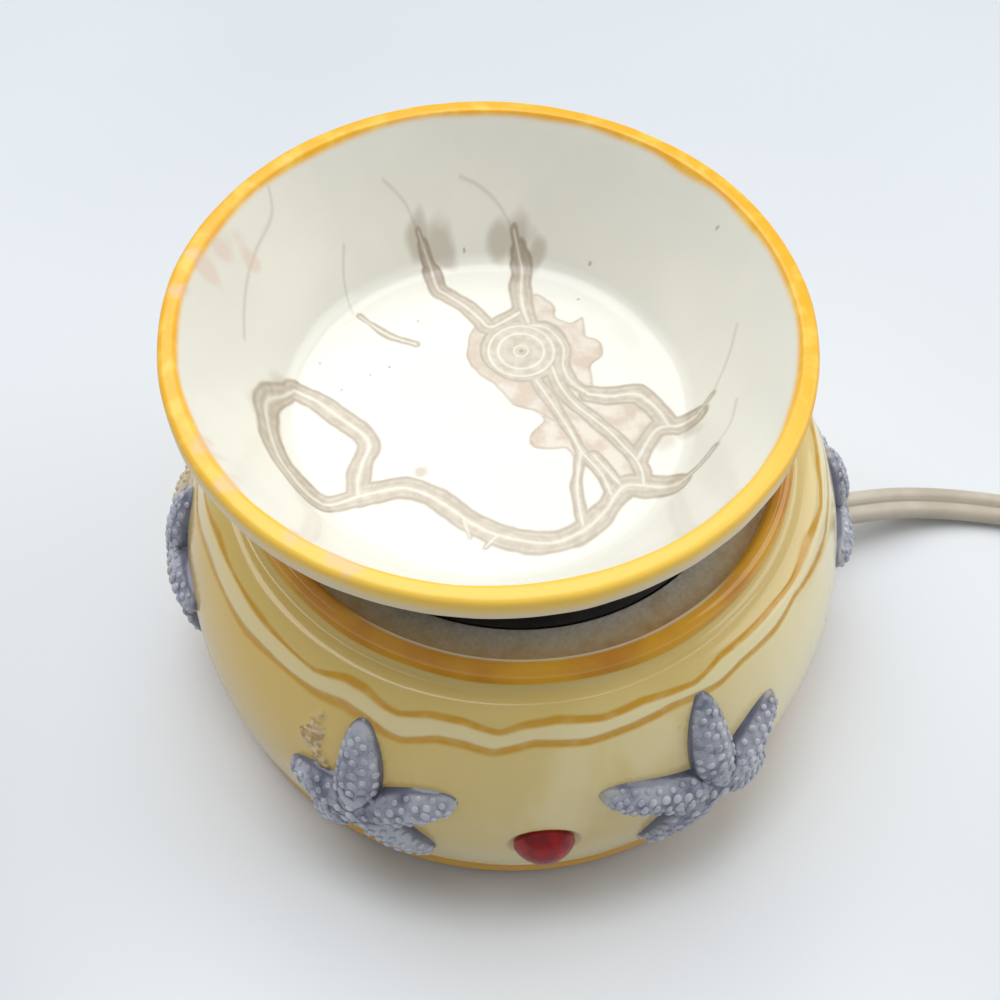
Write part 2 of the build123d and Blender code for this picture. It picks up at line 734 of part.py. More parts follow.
def switch_plan(inset):
    """The housing's outline from above, drawn in by inset."""
    half_l, half_w = switch_l / 2, switch_w / 2
    corners = [(half_l, half_w * switch_end_share), (half_l / 2, half_w), (-half_l / 2, half_w),
               (-half_l, half_w * switch_end_share), (-half_l, -half_w * switch_end_share),
               (-half_l / 2, -half_w), (half_l / 2, -half_w), (half_l, -half_w * switch_end_share)]
    plan = make_face(Polyline(*corners, close=True))
    plan = fillet(plan.vertices(), 2 * switch_edge_r)
    return offset(plan, -inset) if inset else plan


def switch_housing():
    block = extrude(switch_plan(0), switch_h)
    rims = block.faces().sort_by(Axis.Z)[0].edges() + block.faces().sort_by(Axis.Z)[-1].edges()
    block = fillet(rims, switch_edge_r / 2)
    block -= extrude(Plane.XY.offset(switch_wall) * switch_plan(switch_wall), switch_h - 2 * switch_wall)
    entry = Plane((0, 0, cord_entry_z), x_dir=(0, 1, 0), z_dir=(1, 0, 0)) * SlotOverall(cord_w, cord_t)
    return block - extrude(entry, switch_l, both=True)


def box_between(low, high):
    """A box from its lowest to its highest corner."""
    size = Vector(high) - Vector(low)
    return Pos((Vector(low) + Vector(high)) * 0.5) * Box(size.X, size.Y, size.Z)


def screw_spots():
    x, y = switch_screw_place
    return [(x, y), (-x, -y)]


def upright(radius, spot, low, high):
    return Pos(spot[0], spot[1], 0) * ring(radius, 0, low, high)


def switch_base():
    big = switch_l
    base = switch_housing() & box_between((-big, -big, 0), (big, big, split_z))
    boss_r = switch_screw_head_r + switch_wall / 2
    head_z = switch_screw_head_t + switch_wall / 2
    for side in (-1, 1):
        near = wheel_w / 2 + wheel_gap
        y_low, y_high = sorted((side * near, side * (near + post_t)))
        post = box_between((-post_w / 2, y_low, switch_wall), (post_w / 2, y_high, axle_z + wheel_pin_r))
        bore_r = wheel_pin_r + wheel_pin_fit
        post -= Plane((0, 0, axle_z), z_dir=(0, 1, 0)) * Pos(0, 0, -big / 2) * Cylinder(bore_r, 2 * big)
        post -= box_between((-bore_r, y_low - cut_over, axle_z), (bore_r, y_high + cut_over, switch_h))
        base += post
    for spot in screw_spots():
        base += upright(boss_r, spot, switch_wall / 2, split_z)
        base -= upright(switch_screw_head_r + thread_fit, spot, -cut_over, head_z)
        base -= upright(switch_screw_r + thread_fit, spot, 0, split_z + cut_over)
    return switch_frame * base


def switch_cover():
    big = switch_l
    cover = switch_housing() & box_between((-big, -big, split_z), (big, big, switch_h))
    boss_r = switch_screw_head_r + switch_wall / 2
    slot_x = sqrt(wheel_r ** 2 - (switch_h - switch_wall - axle_z) ** 2) + wheel_gap
    slot_y = wheel_w / 2 + wheel_gap
    slot_z = switch_h - 2 * switch_wall
    cover -= box_between((-slot_x, -slot_y, slot_z), (slot_x, slot_y, switch_h + cut_over))
    for spot in screw_spots():
        cover += upright(boss_r, spot, split_z, switch_h - switch_wall / 2)
        cover -= upright(switch_screw_r + thread_fit, spot, split_z - cut_over, slot_z)
    return switch_frame * cover


def switch_wheel():
    """The ridged roller, with its two pins."""
    across = Plane((0, 0, axle_z), z_dir=(0, 1, 0))
    face = Circle(wheel_r - wheel_ridge_r)
    face += PolarLocations(wheel_r - wheel_ridge_r, wheel_ridges) * Circle(wheel_ridge_r)
    wheel = extrude(across * face, wheel_w / 2, both=True)
    pin_half = wheel_w / 2 + wheel_gap + wheel_pin_l
    wheel += extrude(across * Circle(wheel_pin_r), pin_half, both=True)
    return switch_frame * wheel


def switch_contact(side):
    y = side * contact_side
    low = (-contact_l / 2, y - contact_t / 2, switch_wall)
    return switch_frame * box_between(low, (contact_l / 2, y + contact_t / 2, switch_wall + contact_w))


def switch_screw(spot):
    low = switch_wall / 2
    neck = low + switch_screw_head_t
    corners = [(0, low), (switch_screw_head_r, low), (switch_screw_head_r, neck), (switch_screw_r, neck),
               (switch_screw_r, switch_h - 3 * switch_wall), (0, switch_h - 3 * switch_wall)]
    return switch_frame * Pos(spot[0], spot[1], 0) * turned(Polyline(*corners, close=True))


# Coil: in along the lower layer, up in the half turn where it reverses, and out along the upper one

coil_low_z = cord_t / 2
coil_high_z = coil_low_z + cord_t + coil_gap
layer_quarters = 4 * coil_layer_turns
coil_quarters = 2 * layer_quarters + 2


def coil_station(step):
    """Centre line and direction after a number of quarter turns."""
    angle = radians(90 * (step - 1))
    inward = min(step, coil_quarters - step)
    radius = coil_outer_r - inward * (cord_w + coil_gap) / 4
    climb = min(max(step - layer_quarters, 0), 2) / 2
    z = coil_low_z + climb * (coil_high_z - coil_low_z)
    slope = (coil_high_z - coil_low_z) / (2 * radius) if climb == 1 / 2 else 0
    point = Vector(*coil_centre, z) + Vector(cos(angle), sin(angle), 0) * radius
    return point, Vector(-sin(angle), cos(angle), slope).normalized()


def biarc(start, start_way, end, end_way):
    """Two arcs that join two points in two directions."""
    chord = end - start
    both = start_way + end_way
    spread = 2 * (1 - start_way.dot(end_way))
    lean = chord.dot(both)
    reach = (sqrt(lean ** 2 + spread * chord.dot(chord)) - lean) / spread
    middle = (start + end + (start_way - end_way) * reach) / 2
    middle_way = (chord - both * reach).normalized()
    return [TangentArc(start, middle, tangent=start_way), TangentArc(middle, end, tangent=middle_way)]


def coil_path():
    stations = [coil_station(step) for step in range(coil_quarters + 1)]
    first, first_way = stations[0]
    last, last_way = stations[-1]
    edges = [Line(first - first_way * cord_w, first)]
    for (start, start_way), (end, end_way) in zip(stations, stations[1:]):
        edges += biarc(start, start_way, end, end_way)
    edges.append(Line(last, last + last_way * cord_w))
    return Wire(edges)


def least_gap(path, pieces):
    """The least distance between turns of the coil, measured on points across its width."""
    rows = []
    for index in range(pieces + 1):
        point = path @ (index / pieces)
        way = path % (index / pieces)
        side = Vector(way.Y, -way.X, 0).normalized() * core_side
        rows.append([point + side * share for share in (-1, -1 / 2, 0, 1 / 2, 1)])
    away = 2 * cord_w / (path.length / pieces)
    least = path.length
    for index, row in enumerate(rows):
        for other in rows[index + int(away):]:
            if (row[2] - other[2]).length < 2 * cord_w:
                least = min(least, min((a - b).length for a in row for b in other))
    return least - cord_t


# Plug, in its own frame: X from the cord towards the blades

coil_out, coil_out_way = coil_station(coil_quarters)
plug_way = (cos(radians(plug_heading)), sin(radians(plug_heading)), 0)
plug_frame = Plane((*plug_at, plug_t / 2), x_dir=plug_way, z_dir=(0, 0, 1))


def plug_section(reach, width, height):
    face = RectangleRounded(width, height, min(plug_corner_r, height * plug_round_share))
    return Plane((reach, 0, 0), x_dir=(0, 1, 0), z_dir=(1, 0, 0)) * face


def blade(side):
    y = side * blade_pitch / 2
    low = (plug_l - blade_sunk, y - blade_t / 2, -blade_w / 2)
    return box_between(low, (plug_l + blade_l, y + blade_t / 2, blade_w / 2))


def plug_body():
    waist = plug_l * plug_waist_share
    body = loft([plug_section(0, plug_neck_w, plug_neck_t), plug_section(waist, plug_w, plug_t)], ruled=True)
    body += loft([plug_section(waist, plug_w, plug_t), plug_section(plug_l, plug_w, plug_t)], ruled=True)
    return plug_frame * (body - blade(-1) - blade(1))


# The cord's routes from end to end: it leaves every piece straight, square to its face


def cord_route(start, start_way, points, end, end_way):
    return [start, start + start_way * end_run, *points, end - end_way * end_run, end]


coil_in, coil_in_way = coil_station(0)
relief_end = relief_plane(relief_out)
entry_lift = Vector(0, 0, cord_entry_z)
plug_along = plug_frame.x_dir
lead_route = cord_route(relief_end.origin, relief_end.z_dir, lead_points, switch_near + entry_lift,
                        switch_along)
main_route = cord_route(switch_far + entry_lift, switch_along, main_points, coil_in - coil_in_way * cord_w,
                        coil_in_way)
tail_route = cord_route(coil_out + coil_out_way * cord_w, coil_out_way, [], plug_frame.origin, plug_along)

nodes = {
    "body_shell": body_shell(),
    "dish": dish(),
    "hot_plate": hot_plate(),
    "plate_gasket": ring(plate_r, mouth_r, seat_z, seat_z + gasket_t),
    "heating_element": heating_element(),
    "insulation_disc": insulation_disc(),
    "heat_shield": heat_shield(),
    "bridge_bracket": bridge_bracket(),
    "spring_washer": ring(washer_r, stud_r + stud_fit, nut_top_z, washer_top_z),
    "stud_nut": stud_nut(),
    "support_column": support_column(),
    "fuse_clip": fuse_clip(),
    "fuse_rivets": Compound([fuse_rivet(x, y) for x, y in rivet_places()]),
    "thermal_fuse": along_x(fuse_r, -fuse_l / 2, fuse_l / 2, fuse_y, fuse_z),
    "base_plate": base_plate(),
    "rubber_feet": Compound([rubber_foot(place) for place in pad_places()]),
    "base_screw": base_screw(),
    "indicator_lens": indicator_lens(),
    "lens_push_nut": push_nut(),
    "neon_lamp": neon_lamp(),
    "lamp_resistor": lamp_resistor(),
    "strain_relief": strain_relief(),
    "butt_splices": Compound([butt_splice(y) for y in splice_y]),
    "supply_wires": Compound([supply_wire(-core_side, splice_y[0]), supply_wire(core_side, splice_y[1])]),
    "fuse_wires": fuse_wires(),
    "return_wire": return_wire(),
    "lamp_wires": lamp_wires(),
    "cord_to_switch": flat_route(lead_route),
    "switch_base": switch_base(),
    "switch_cover": switch_cover(),
    "switch_wheel": switch_wheel(),
    "switch_contacts": Compound([switch_contact(side) for side in (-1, 1)]),
    "switch_screws": Compound([switch_screw(spot) for spot in screw_spots()]),
    "cord_to_coil": flat_route(main_route),
    "cord_coil": flat_cord(coil_path(), coil_in - coil_in_way * cord_w, coil_in_way),
    "cord_to_plug": flat_route(tail_route),
    "plug_body": plug_body(),
    "plug_blades": Compound([plug_frame * blade(side) for side in (-1, 1)]),
}

os.makedirs("parts", exist_ok=True)
for name, shape in nodes.items():
    export_step(shape, f"parts/{name}.step")
for route in (lead_route, main_route, tail_route):
    print("arcs of a cord's route:", [round(radius, 1) for radius in route_radii(route)])
print("least gap of the coil to itself:", round(least_gap(coil_path(), 300), 2))
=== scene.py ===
import bpy
import math
import numpy as np
from mathutils import Matrix, Vector


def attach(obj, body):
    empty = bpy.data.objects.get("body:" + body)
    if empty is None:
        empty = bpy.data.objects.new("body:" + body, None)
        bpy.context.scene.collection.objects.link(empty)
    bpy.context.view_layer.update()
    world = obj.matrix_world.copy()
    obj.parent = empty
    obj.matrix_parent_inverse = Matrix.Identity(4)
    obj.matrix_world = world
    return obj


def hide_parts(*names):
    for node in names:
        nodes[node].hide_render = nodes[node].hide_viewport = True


# The glazed wax melt warmer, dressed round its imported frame. Sizes are millimetres, times MM where they meet
# Blender. An azimuth counts from the front (-Y) towards +X, in degrees.
MM = 0.001
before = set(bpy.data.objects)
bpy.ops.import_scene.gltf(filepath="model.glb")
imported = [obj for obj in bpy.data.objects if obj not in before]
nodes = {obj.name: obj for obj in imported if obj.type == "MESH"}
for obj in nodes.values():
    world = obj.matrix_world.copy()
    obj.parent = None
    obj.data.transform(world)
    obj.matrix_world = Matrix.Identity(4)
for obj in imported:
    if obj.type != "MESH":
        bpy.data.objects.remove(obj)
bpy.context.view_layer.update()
scene = bpy.context.scene

# Camera: the photograph is 1000 x 1000 pixels
IMAGE_PX = 1000
FOCAL_PX = 1400
CAMERA_AT = (-20.4, -152.2, 260.2)
CAMERA_WAY = (0.0661, 0.5625, -0.8241)
CAMERA_ROLL = 1.9

# Body
FOOT_GAP = 1.0
FOOT_R = 61.2
FOOT_EDGE_R = 1.2
FOOT_BAND_Z = 4.2
FOOT_COLOUR_Z = 7.6
FOOT_RING_W = 3.8
BELLY_R = 63.6
BELLY_Z = 24.7
NECK_Z = 56.0
NECK_FILLET = 1.4
SHOULDER_R = 6.0
LIP_OUTER_R = 50.1
LIP_INNER_R = 46.6
LIP_Z = 60.8
LEDGE_Z = 57.5
SEAT_R = 40.0
SEAT_Z = 54.9
MOUTH_R = 36.5
CEILING_Z = 51.7
SHELF_R = 53.4
SHELF_Z = 6.0
PLATE_SEAM_Z = 4.0
BODY_WALL = 4.5
LENS_Z = 21.5
LENS_R = 5.5
# Starfish
STAR_Z = 28.5
STAR_W = 4.4                    # greatest half width of an arm
STAR_H = 4.0                    # greatest height over the glaze
STAR_SINK = 0.9
BEAD_STEP = 2.3
# Dish
PLATE_TOP_Z = 57.2
RIM_R = 54.0
RIM_W = 3.0
RIM_EDGE_R = 1.2
RIM_FACE_H = 4.4
RIM_UNDER_H = 1.6
DISH_H = 31.3
DISH_DEPTH = 24.6
DISH_FLOOR_R = 36.0
DISH_CORNER_R = 4.5
DISH_WALL = 3.9
DISH_FOOT_R = 31.0
DISH_FOOT_W = 3.5
DISH_FOOT_H = 2.2
DISH_SHIFT = (-5.1, 1.1, 0)
# Cord
CORD_W = 7.6
CORD_T = 3.8
# Fineness of the meshes: points round each piece, and rows of points out from a starfish's middle
BODY_COLUMNS = 960
DISH_COLUMNS = 1080
STAR_COLUMNS = 440
STAR_ROWS = 44
FINE_STEPS = 1441               # places at which a line round the body or a star is first measured


# Colours

def srgb(r, g, b):
    """Linear colour of an 8-bit sRGB one."""
    shares = (r / 255, g / 255, b / 255)
    return tuple(v / 12.92 if v <= 0.04045 else ((v + 0.055) / 1.055) ** 2.4 for v in shares)


CREAM = srgb(229, 203, 126)
YELLOW = srgb(232, 191, 81)
PALE_CREAM = srgb(250, 238, 189)
OLIVE = srgb(224, 197, 115)
SPECK_BROWN = (0.42, 0.31, 0.14)
LINE_AMBER = srgb(212, 158, 24)
LIP_AMBER = srgb(228, 165, 6)
# Pale colour of the painted highlight on the lip's inner crest
LIP_HIGHLIGHT = srgb(255, 248, 222)
DEEP_AMBER = srgb(204, 134, 4)
FOOT_AMBER = srgb(228, 168, 36)
RUN_PALE = srgb(224, 200, 150)
RUN_BROWN = srgb(164, 124, 66)
BARE_DARK = (0.33, 0.305, 0.265)
BARE_PALE = (0.45, 0.425, 0.375)
BARE_SMUDGE = (0.30, 0.20, 0.10)
RUST = (0.20, 0.09, 0.03)
STAR_BLUE = srgb(160, 163, 177)
STAR_DARK = srgb(92, 95, 116)
STAR_LIGHT = srgb(198, 200, 208)
STAR_BEAD = srgb(211, 213, 221)
STAR_TIP = (0.70, 0.60, 0.36)
STAR_WORN = srgb(214, 194, 142)
RIM_AMBER = srgb(250, 183, 28)
RIM_PALE = srgb(255, 218, 96)
RIM_UNDER = srgb(230, 206, 156)
DISH_WHITE = srgb(236, 235, 223)
DISH_CREAM = srgb(244, 241, 228)
STAIN_POOL = srgb(209, 190, 170)
STAIN_LIGHT = srgb(211, 200, 182)
STAIN_MID = srgb(194, 181, 161)
STAIN_DARK = srgb(162, 146, 124)
STAIN_BURNT = srgb(140, 122, 104)
PINK = srgb(232, 196, 176)
DOT_BROWN = (0.10, 0.07, 0.05)
CORD_DARK = srgb(186, 175, 157)
CORD_PALE = srgb(204, 195, 179)
CORD_GROOVE = srgb(150, 138, 122)
FLOOR_FAR = (0.63, 0.67, 0.70)
FLOOR_NEAR = (0.85, 0.87, 0.89)
FLOOR_SIDE = (0.70, 0.74, 0.765)
FLOOR_CORNER = (0.58, 0.63, 0.66)
FLOOR_CLOUD = (0.90, 0.94, 1.0)
FLOOR_SHADOW = (0.44, 0.45, 0.45)
FLOOR_BOUNCE = (0.62, 0.64, 0.66)


# Geometry helpers

def arc(cx, cz, radius, start, end, steps):
    """Points of an arc, angles in degrees, both ends included."""
    angles = np.radians(np.linspace(start, end, steps + 1))
    return [(cx + radius * math.cos(a), cz + radius * math.sin(a)) for a in angles]


def rounded(corners, radii, steps=8):
    """A polyline whose inner corners are rounded with the radii, one for each."""
    out = [corners[0]]
    for before, corner, after, radius in zip(corners, corners[1:], corners[2:], radii):
        b, c, a = (np.array(p, float) for p in (before, corner, after))
        u = (b - c) / np.linalg.norm(b - c)
        v = (a - c) / np.linalg.norm(a - c)
        half = math.acos(max(-1, min(1, float(u @ v)))) / 2
        reach = radius / math.tan(half)
        middle = c + (u + v) / np.linalg.norm(u + v) * radius / math.sin(half)
        first, last = c + u * reach, c + v * reach
        start = math.degrees(math.atan2(*(first - middle)[::-1]))
        sweep = math.degrees(math.atan2(*(last - middle)[::-1])) - start
        out += arc(*middle, radius, start, start + (sweep + 180) % 360 - 180, steps)
    return out + [corners[-1]]


def respaced(points, step):
    """The polyline with extra points, so that none of its pieces is longer than step."""
    out = [points[0]]
    for start, end in zip(points, points[1:]):
        a, b = np.array(start, float), np.array(end, float)
        pieces = max(1, math.ceil(float(np.linalg.norm(b - a)) / step))
        out += [tuple(a + (b - a) * k / pieces) for k in range(1, pieces + 1)]
    return out


def turned(profile, columns):
    """Azimuth, radius and height of each point of a profile that is turned round the axis."""
    profile = np.array(profile, float)
    azimuth = np.tile(np.arange(columns) * 360 / columns, (len(profile), 1))
    return azimuth, np.tile(profile[:, :1], (1, columns)), np.tile(profile[:, 1:], (1, columns))


def around(azimuth, radius, z):
    """Cartesian points from azimuths in degrees, radii and heights."""
    a = np.radians(azimuth)
    return np.stack([np.sin(a) * radius, -np.cos(a) * radius, z * np.ones_like(a)], axis=-1)


def grid_faces(rows, columns, wrap_rows=False):
    """Quads of a grid whose columns close on themselves."""
    faces = []
    for i in range(rows if wrap_rows else rows - 1):
        low, high = i * columns, (i + 1) % rows * columns
        faces += [(low + j, low + (j + 1) % columns, high + (j + 1) % columns, high + j)
                  for j in range(columns)]
    return faces


def closed_faces(rows, columns, first=0):
    """Faces over a first point, rows of rings after it, and an end point."""
    ring = first + 1
    end = ring + rows * columns
    last = end - columns
    faces = [(first, ring + (j + 1) % columns, ring + j) for j in range(columns)]
    faces += [tuple(ring + i for i in face) for face in grid_faces(rows, columns)]
    return faces + [(end, last + j, last + (j + 1) % columns) for j in range(columns)]


def new_mesh(name, points_mm, faces):
    mesh = bpy.data.meshes.new(name)
    mesh.from_pydata((np.asarray(points_mm, float) * MM).tolist(), [], faces)
    mesh.validate()
    mesh.polygons.foreach_set("use_smooth", [True] * len(mesh.polygons))
    piece = bpy.data.objects.new(name, mesh)
    scene.collection.objects.link(piece)
    return piece


def masks(piece, **values):
    """Named values for each point of a piece, for its material."""
    for name, value in values.items():
        attribute = piece.data.attributes.new(name, "FLOAT", "POINT")
        attribute.data.foreach_set("value", np.ravel(value).astype(np.float32))


def smooth_step(low, high, x):
    t = np.clip((x - low) / (high - low), 0, 1)
    return t * t * (3 - 2 * t)


def wobble(points, scale, seed):
    """A smooth field of waves, about -1 to 1, over points in millimetres that are scaled first."""
    local = np.random.default_rng(seed)
    x, y, z = np.moveaxis(points * np.array(scale, float), -1, 0)
    total = 0
    for _ in range(6):
        way = local.normal(size=3)
        way *= local.uniform(0.05, 0.16) / np.linalg.norm(way)
        total = total + np.sin(x * way[0] + y * way[1] + z * way[2] + local.uniform(0, 6.28))
    return total / 3


# Material helpers

class Paint:
    """A principled material that is built up node by node."""

    def __init__(self, name, roughness=0.4, metallic=0.0, coat=0.0, coat_roughness=0.05, ior=1.5):
        self.material = bpy.data.materials.new(name)
        self.material.use_nodes = True
        self.tree = self.material.node_tree
        self.shader = self.tree.nodes["Principled BSDF"]
        self.put("Roughness", roughness)
        self.put("Metallic", metallic)
        self.put("Coat Weight", coat)
        self.put("Coat Roughness", coat_roughness)
        self.put("IOR", ior)
        self.place = self.node("ShaderNodeTexCoord").outputs["Object"]

    def node(self, kind, **settings):
        made = self.tree.nodes.new(kind)
        for key, value in settings.items():
            setattr(made, key, value)
        return made

    def feed(self, socket, value):
        if isinstance(value, bpy.types.NodeSocket):
            self.tree.links.new(value, socket)
        elif socket.type == "RGBA" and len(value) == 3:
            socket.default_value = (*value, 1)
        else:
            socket.default_value = value

    def put(self, name, value):
        self.feed(self.shader.inputs[name], value)

    def axes(self):
        """X, Y and Z of the point that is shaded, in millimetres."""
        split = self.node("ShaderNodeSeparateXYZ")
        self.feed(split.inputs[0], self.place)
        return [self.times(split.outputs[name], 1 / MM) for name in "XYZ"]

    def scaled(self, x, y, z):
        made = self.node("ShaderNodeMapping")
        self.feed(made.inputs["Vector"], self.place)
        made.inputs["Scale"].default_value = (x, y, z)
        return made.outputs["Vector"]

    def noise(self, per_mm, detail=3.0, rough=0.5, at=None):
        """Noise between 0 and 1 with about per_mm features a millimetre."""
        made = self.node("ShaderNodeTexNoise")
        for name, value in (("Vector", at or self.place), ("Scale", per_mm / MM), ("Detail", detail),
                            ("Roughness", rough)):
            self.feed(made.inputs[name], value)
        return made.outputs["Fac"]

    def patches(self, per_mm, detail, low, high, out_low=0.0, out_high=1.0, **noise):
        """Soft patches: out_low where the noise is under low, out_high where it is over high."""
        return self.ramp(self.noise(per_mm, detail, **noise), low, high, out_low, out_high)

    def cells(self, per_mm, feature="DISTANCE_TO_EDGE"):
        made = self.node("ShaderNodeTexVoronoi", feature=feature)
        self.feed(made.inputs["Vector"], self.place)
        self.feed(made.inputs["Scale"], per_mm / MM)
        return made.outputs["Distance"]

    def value(self, name):
        return self.node("ShaderNodeAttribute", attribute_name=name).outputs["Fac"]

    def calc(self, operation, a, b=0.0):
        made = self.node("ShaderNodeMath", operation=operation)
        self.feed(made.inputs[0], a)
        self.feed(made.inputs[1], b)
        return made.outputs[0]

    def times(self, a, b):
        return self.calc("MULTIPLY", a, b)

    def ramp(self, x, low, high, out_low=0.0, out_high=1.0):
        made = self.node("ShaderNodeMapRange", interpolation_type="SMOOTHSTEP")
        for name, value in (("Value", x), ("From Min", low), ("From Max", high), ("To Min", out_low),
                            ("To Max", out_high)):
            self.feed(made.inputs[name], value)
        return made.outputs["Result"]

    def mix(self, share, a, b):
        made = self.node("ShaderNodeMix", data_type="RGBA")
        self.feed(made.inputs["Factor"], share)
        self.feed(made.inputs[6], a)
        self.feed(made.inputs[7], b)
        return made.outputs[2]

    def wash(self, tone, name, share, colour):
        """The tone, with that share of the colour where the mask of that name is 1."""
        return self.mix(self.times(self.value(name), share), tone, colour)

    def bump(self, height, strength, distance_mm):
        made = self.node("ShaderNodeBump")
        for name, value in (("Height", height), ("Strength", strength), ("Distance", distance_mm * MM)):
            self.feed(made.inputs[name], value)
        self.put("Normal", made.outputs["Normal"])

    def on(self, piece):
        piece.data.materials.clear()
        piece.data.materials.append(self.material)


def place_camera():
    data = bpy.data.cameras.new("camera")
    data.sensor_width = 36
    data.lens = FOCAL_PX / IMAGE_PX * data.sensor_width
    forward = Vector(CAMERA_WAY).normalized()
    level = forward.cross(Vector((0, 0, 1))).normalized()
    down = forward.cross(level)
    roll = math.radians(CAMERA_ROLL)
    right = level * math.cos(roll) - down * math.sin(roll)
    up = -(level * math.sin(roll) + down * math.cos(roll))
    turn = Matrix((right, up, -forward)).transposed().to_4x4()
    camera = bpy.data.objects.new("camera", data)
    camera.matrix_world = Matrix.Translation(Vector(CAMERA_AT) * MM) @ turn
    scene.collection.objects.link(camera)
    scene.camera = camera


place_camera()


# Cords: routes from part.py, in millimetres

LEAD_ROUTE = [
    (71.57, 10.70, 9.16), (82.6, 12.9, 7.6), (94.5, 14.9, 3.8), (106.5, 14.1, 2.1),
    (118.5, 10.9, 2.2), (129.1, 5.9, 4.2), (138.7, -0.4, 4.2),
]
MAIN_START = [
    (185.7, -30.9, 4.2), (195.3, -37.2, 4.2), (206.4, -41.7, 3.0), (218.4, -44.0, 1.9),
    (229.9, -44.0, 1.9),
]
MAIN_END = [
    (229.9, 56.0, 6.6), (218.4, 56.0, 6.6), (206.5, 54.4, 7.0), (195.4, 51.2, 7.0),
]
COIL_CENTRE = (237.5, 6.0)
COIL_R = 50.0
COIL_GAP = 0.9
COIL_QUARTERS = 18
COIL_CLIMB_START = 8
COIL_CLIMB_QUARTERS = 2
COIL_STEPS = 5                  # route points for each quarter turn


def coil_points():
    """Control points of the coil: in along the lower layer, up in the half turn, out along the upper one."""
    low, high = CORD_T / 2, CORD_T / 2 + CORD_T + COIL_GAP
    swell = 1 / math.cos(math.radians(90 / COIL_STEPS / 2))
    points = []
    for step in range(1, COIL_QUARTERS * COIL_STEPS):
        quarter = step / COIL_STEPS
        angle = math.radians(90 * (quarter - 1))
        radius = (COIL_R - min(quarter, COIL_QUARTERS - quarter) * (CORD_W + COIL_GAP) / 4) * swell
        climb = min(max(quarter - COIL_CLIMB_START, 0), COIL_CLIMB_QUARTERS) / COIL_CLIMB_QUARTERS
        points.append((COIL_CENTRE[0] + radius * math.cos(angle), COIL_CENTRE[1] + radius * math.sin(angle),
                       low + climb * (high - low)))
    return points


def spline_points(route):
    """Points along the smooth NURBS line of a route, in millimetres."""
    curve = bpy.data.curves.new("route", "CURVE")
    curve.dimensions = "3D"
    spline = curve.splines.new("NURBS")
    spline.points.add(len(route) - 1)
    for point, place in zip(spline.points, route):
        point.co = (*(Vector(place) * MM), 1)
    spline.order_u = 3
    spline.use_endpoint_u = True
    spline.resolution_u = 6
    line = bpy.data.objects.new("route", curve)
    mesh = bpy.data.meshes.new_from_object(line)
    points = np.array([v.co for v in mesh.vertices], float) / MM
    bpy.data.objects.remove(line)
    bpy.data.meshes.remove(mesh)
    return points


def twin_section(steps=7):
    """Outline of the flat cord: two round cores side by side with a groove between them."""
    core = (CORD_W - CORD_T) / 2
    groove = 38
    right = arc(core, 0, CORD_T / 2, -180 + groove, 180 - groove, 3 * steps)
    left = arc(-core, 0, CORD_T / 2, groove, 360 - groove, 3 * steps)
    return np.array(right + left)


def cord_tube(name, route):
    """A flat twin cord along a route."""
    line = spline_points(route)
    along = np.gradient(line, axis=0)
    along /= np.linalg.norm(along, axis=1)[:, None]
    side = np.cross(along, (0, 0, 1))
    side /= np.linalg.norm(side, axis=1)[:, None]
    up = np.cross(side, along)
    section = twin_section()
    rings = line[:, None] + side[:, None] * section[None, :, :1] + up[:, None] * section[None, :, 1:]
    count = len(section)
    faces = [f[::-1] for f in grid_faces(len(line), count)]
    points = rings.reshape(-1, 3)
    ends = [tuple(range(count)), tuple(range(len(points) - 1, len(points) - 1 - count, -1))]
    piece = new_mesh(name, points, faces + ends)
    masks(piece, across=np.tile(section[:, 0], len(line)))
    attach(piece, "base")
    return piece


lead_cord = cord_tube("lead_cord", LEAD_ROUTE)
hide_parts("cord_to_switch")
main_cord = cord_tube("main_cord", MAIN_START + coil_points() + MAIN_END)
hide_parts("cord_to_coil", "cord_coil", "cord_to_plug")


# Body skin

FOOT_ARC_R = ((BELLY_Z - FOOT_BAND_Z) ** 2 + (BELLY_R - FOOT_R) ** 2) / (2 * (BELLY_R - FOOT_R))
NECK_R = LIP_OUTER_R + NECK_FILLET
SHOULDER_LOW = NECK_Z - SHOULDER_R - BELLY_Z
BELLY_ARC_R = (((BELLY_R - NECK_R) ** 2 + SHOULDER_LOW ** 2 - SHOULDER_R ** 2)
               / (2 * (BELLY_R - NECK_R - SHOULDER_R)))
SHOULDER_JOIN = math.degrees(math.asin(SHOULDER_LOW / (BELLY_ARC_R - SHOULDER_R)))
LIP_ROUND_R = (LIP_OUTER_R - LIP_INNER_R) / 2
LIP_MID_Z = LIP_Z - LIP_ROUND_R
BASE_RING_R = FOOT_R - FOOT_RING_W
BELLY_DEGREE = math.radians(BELLY_R)            # length of one degree round the belly
LINE_DEPTH = 0.22
GROOVE_DEPTH = 0.3
LENS_DIP = 0.75

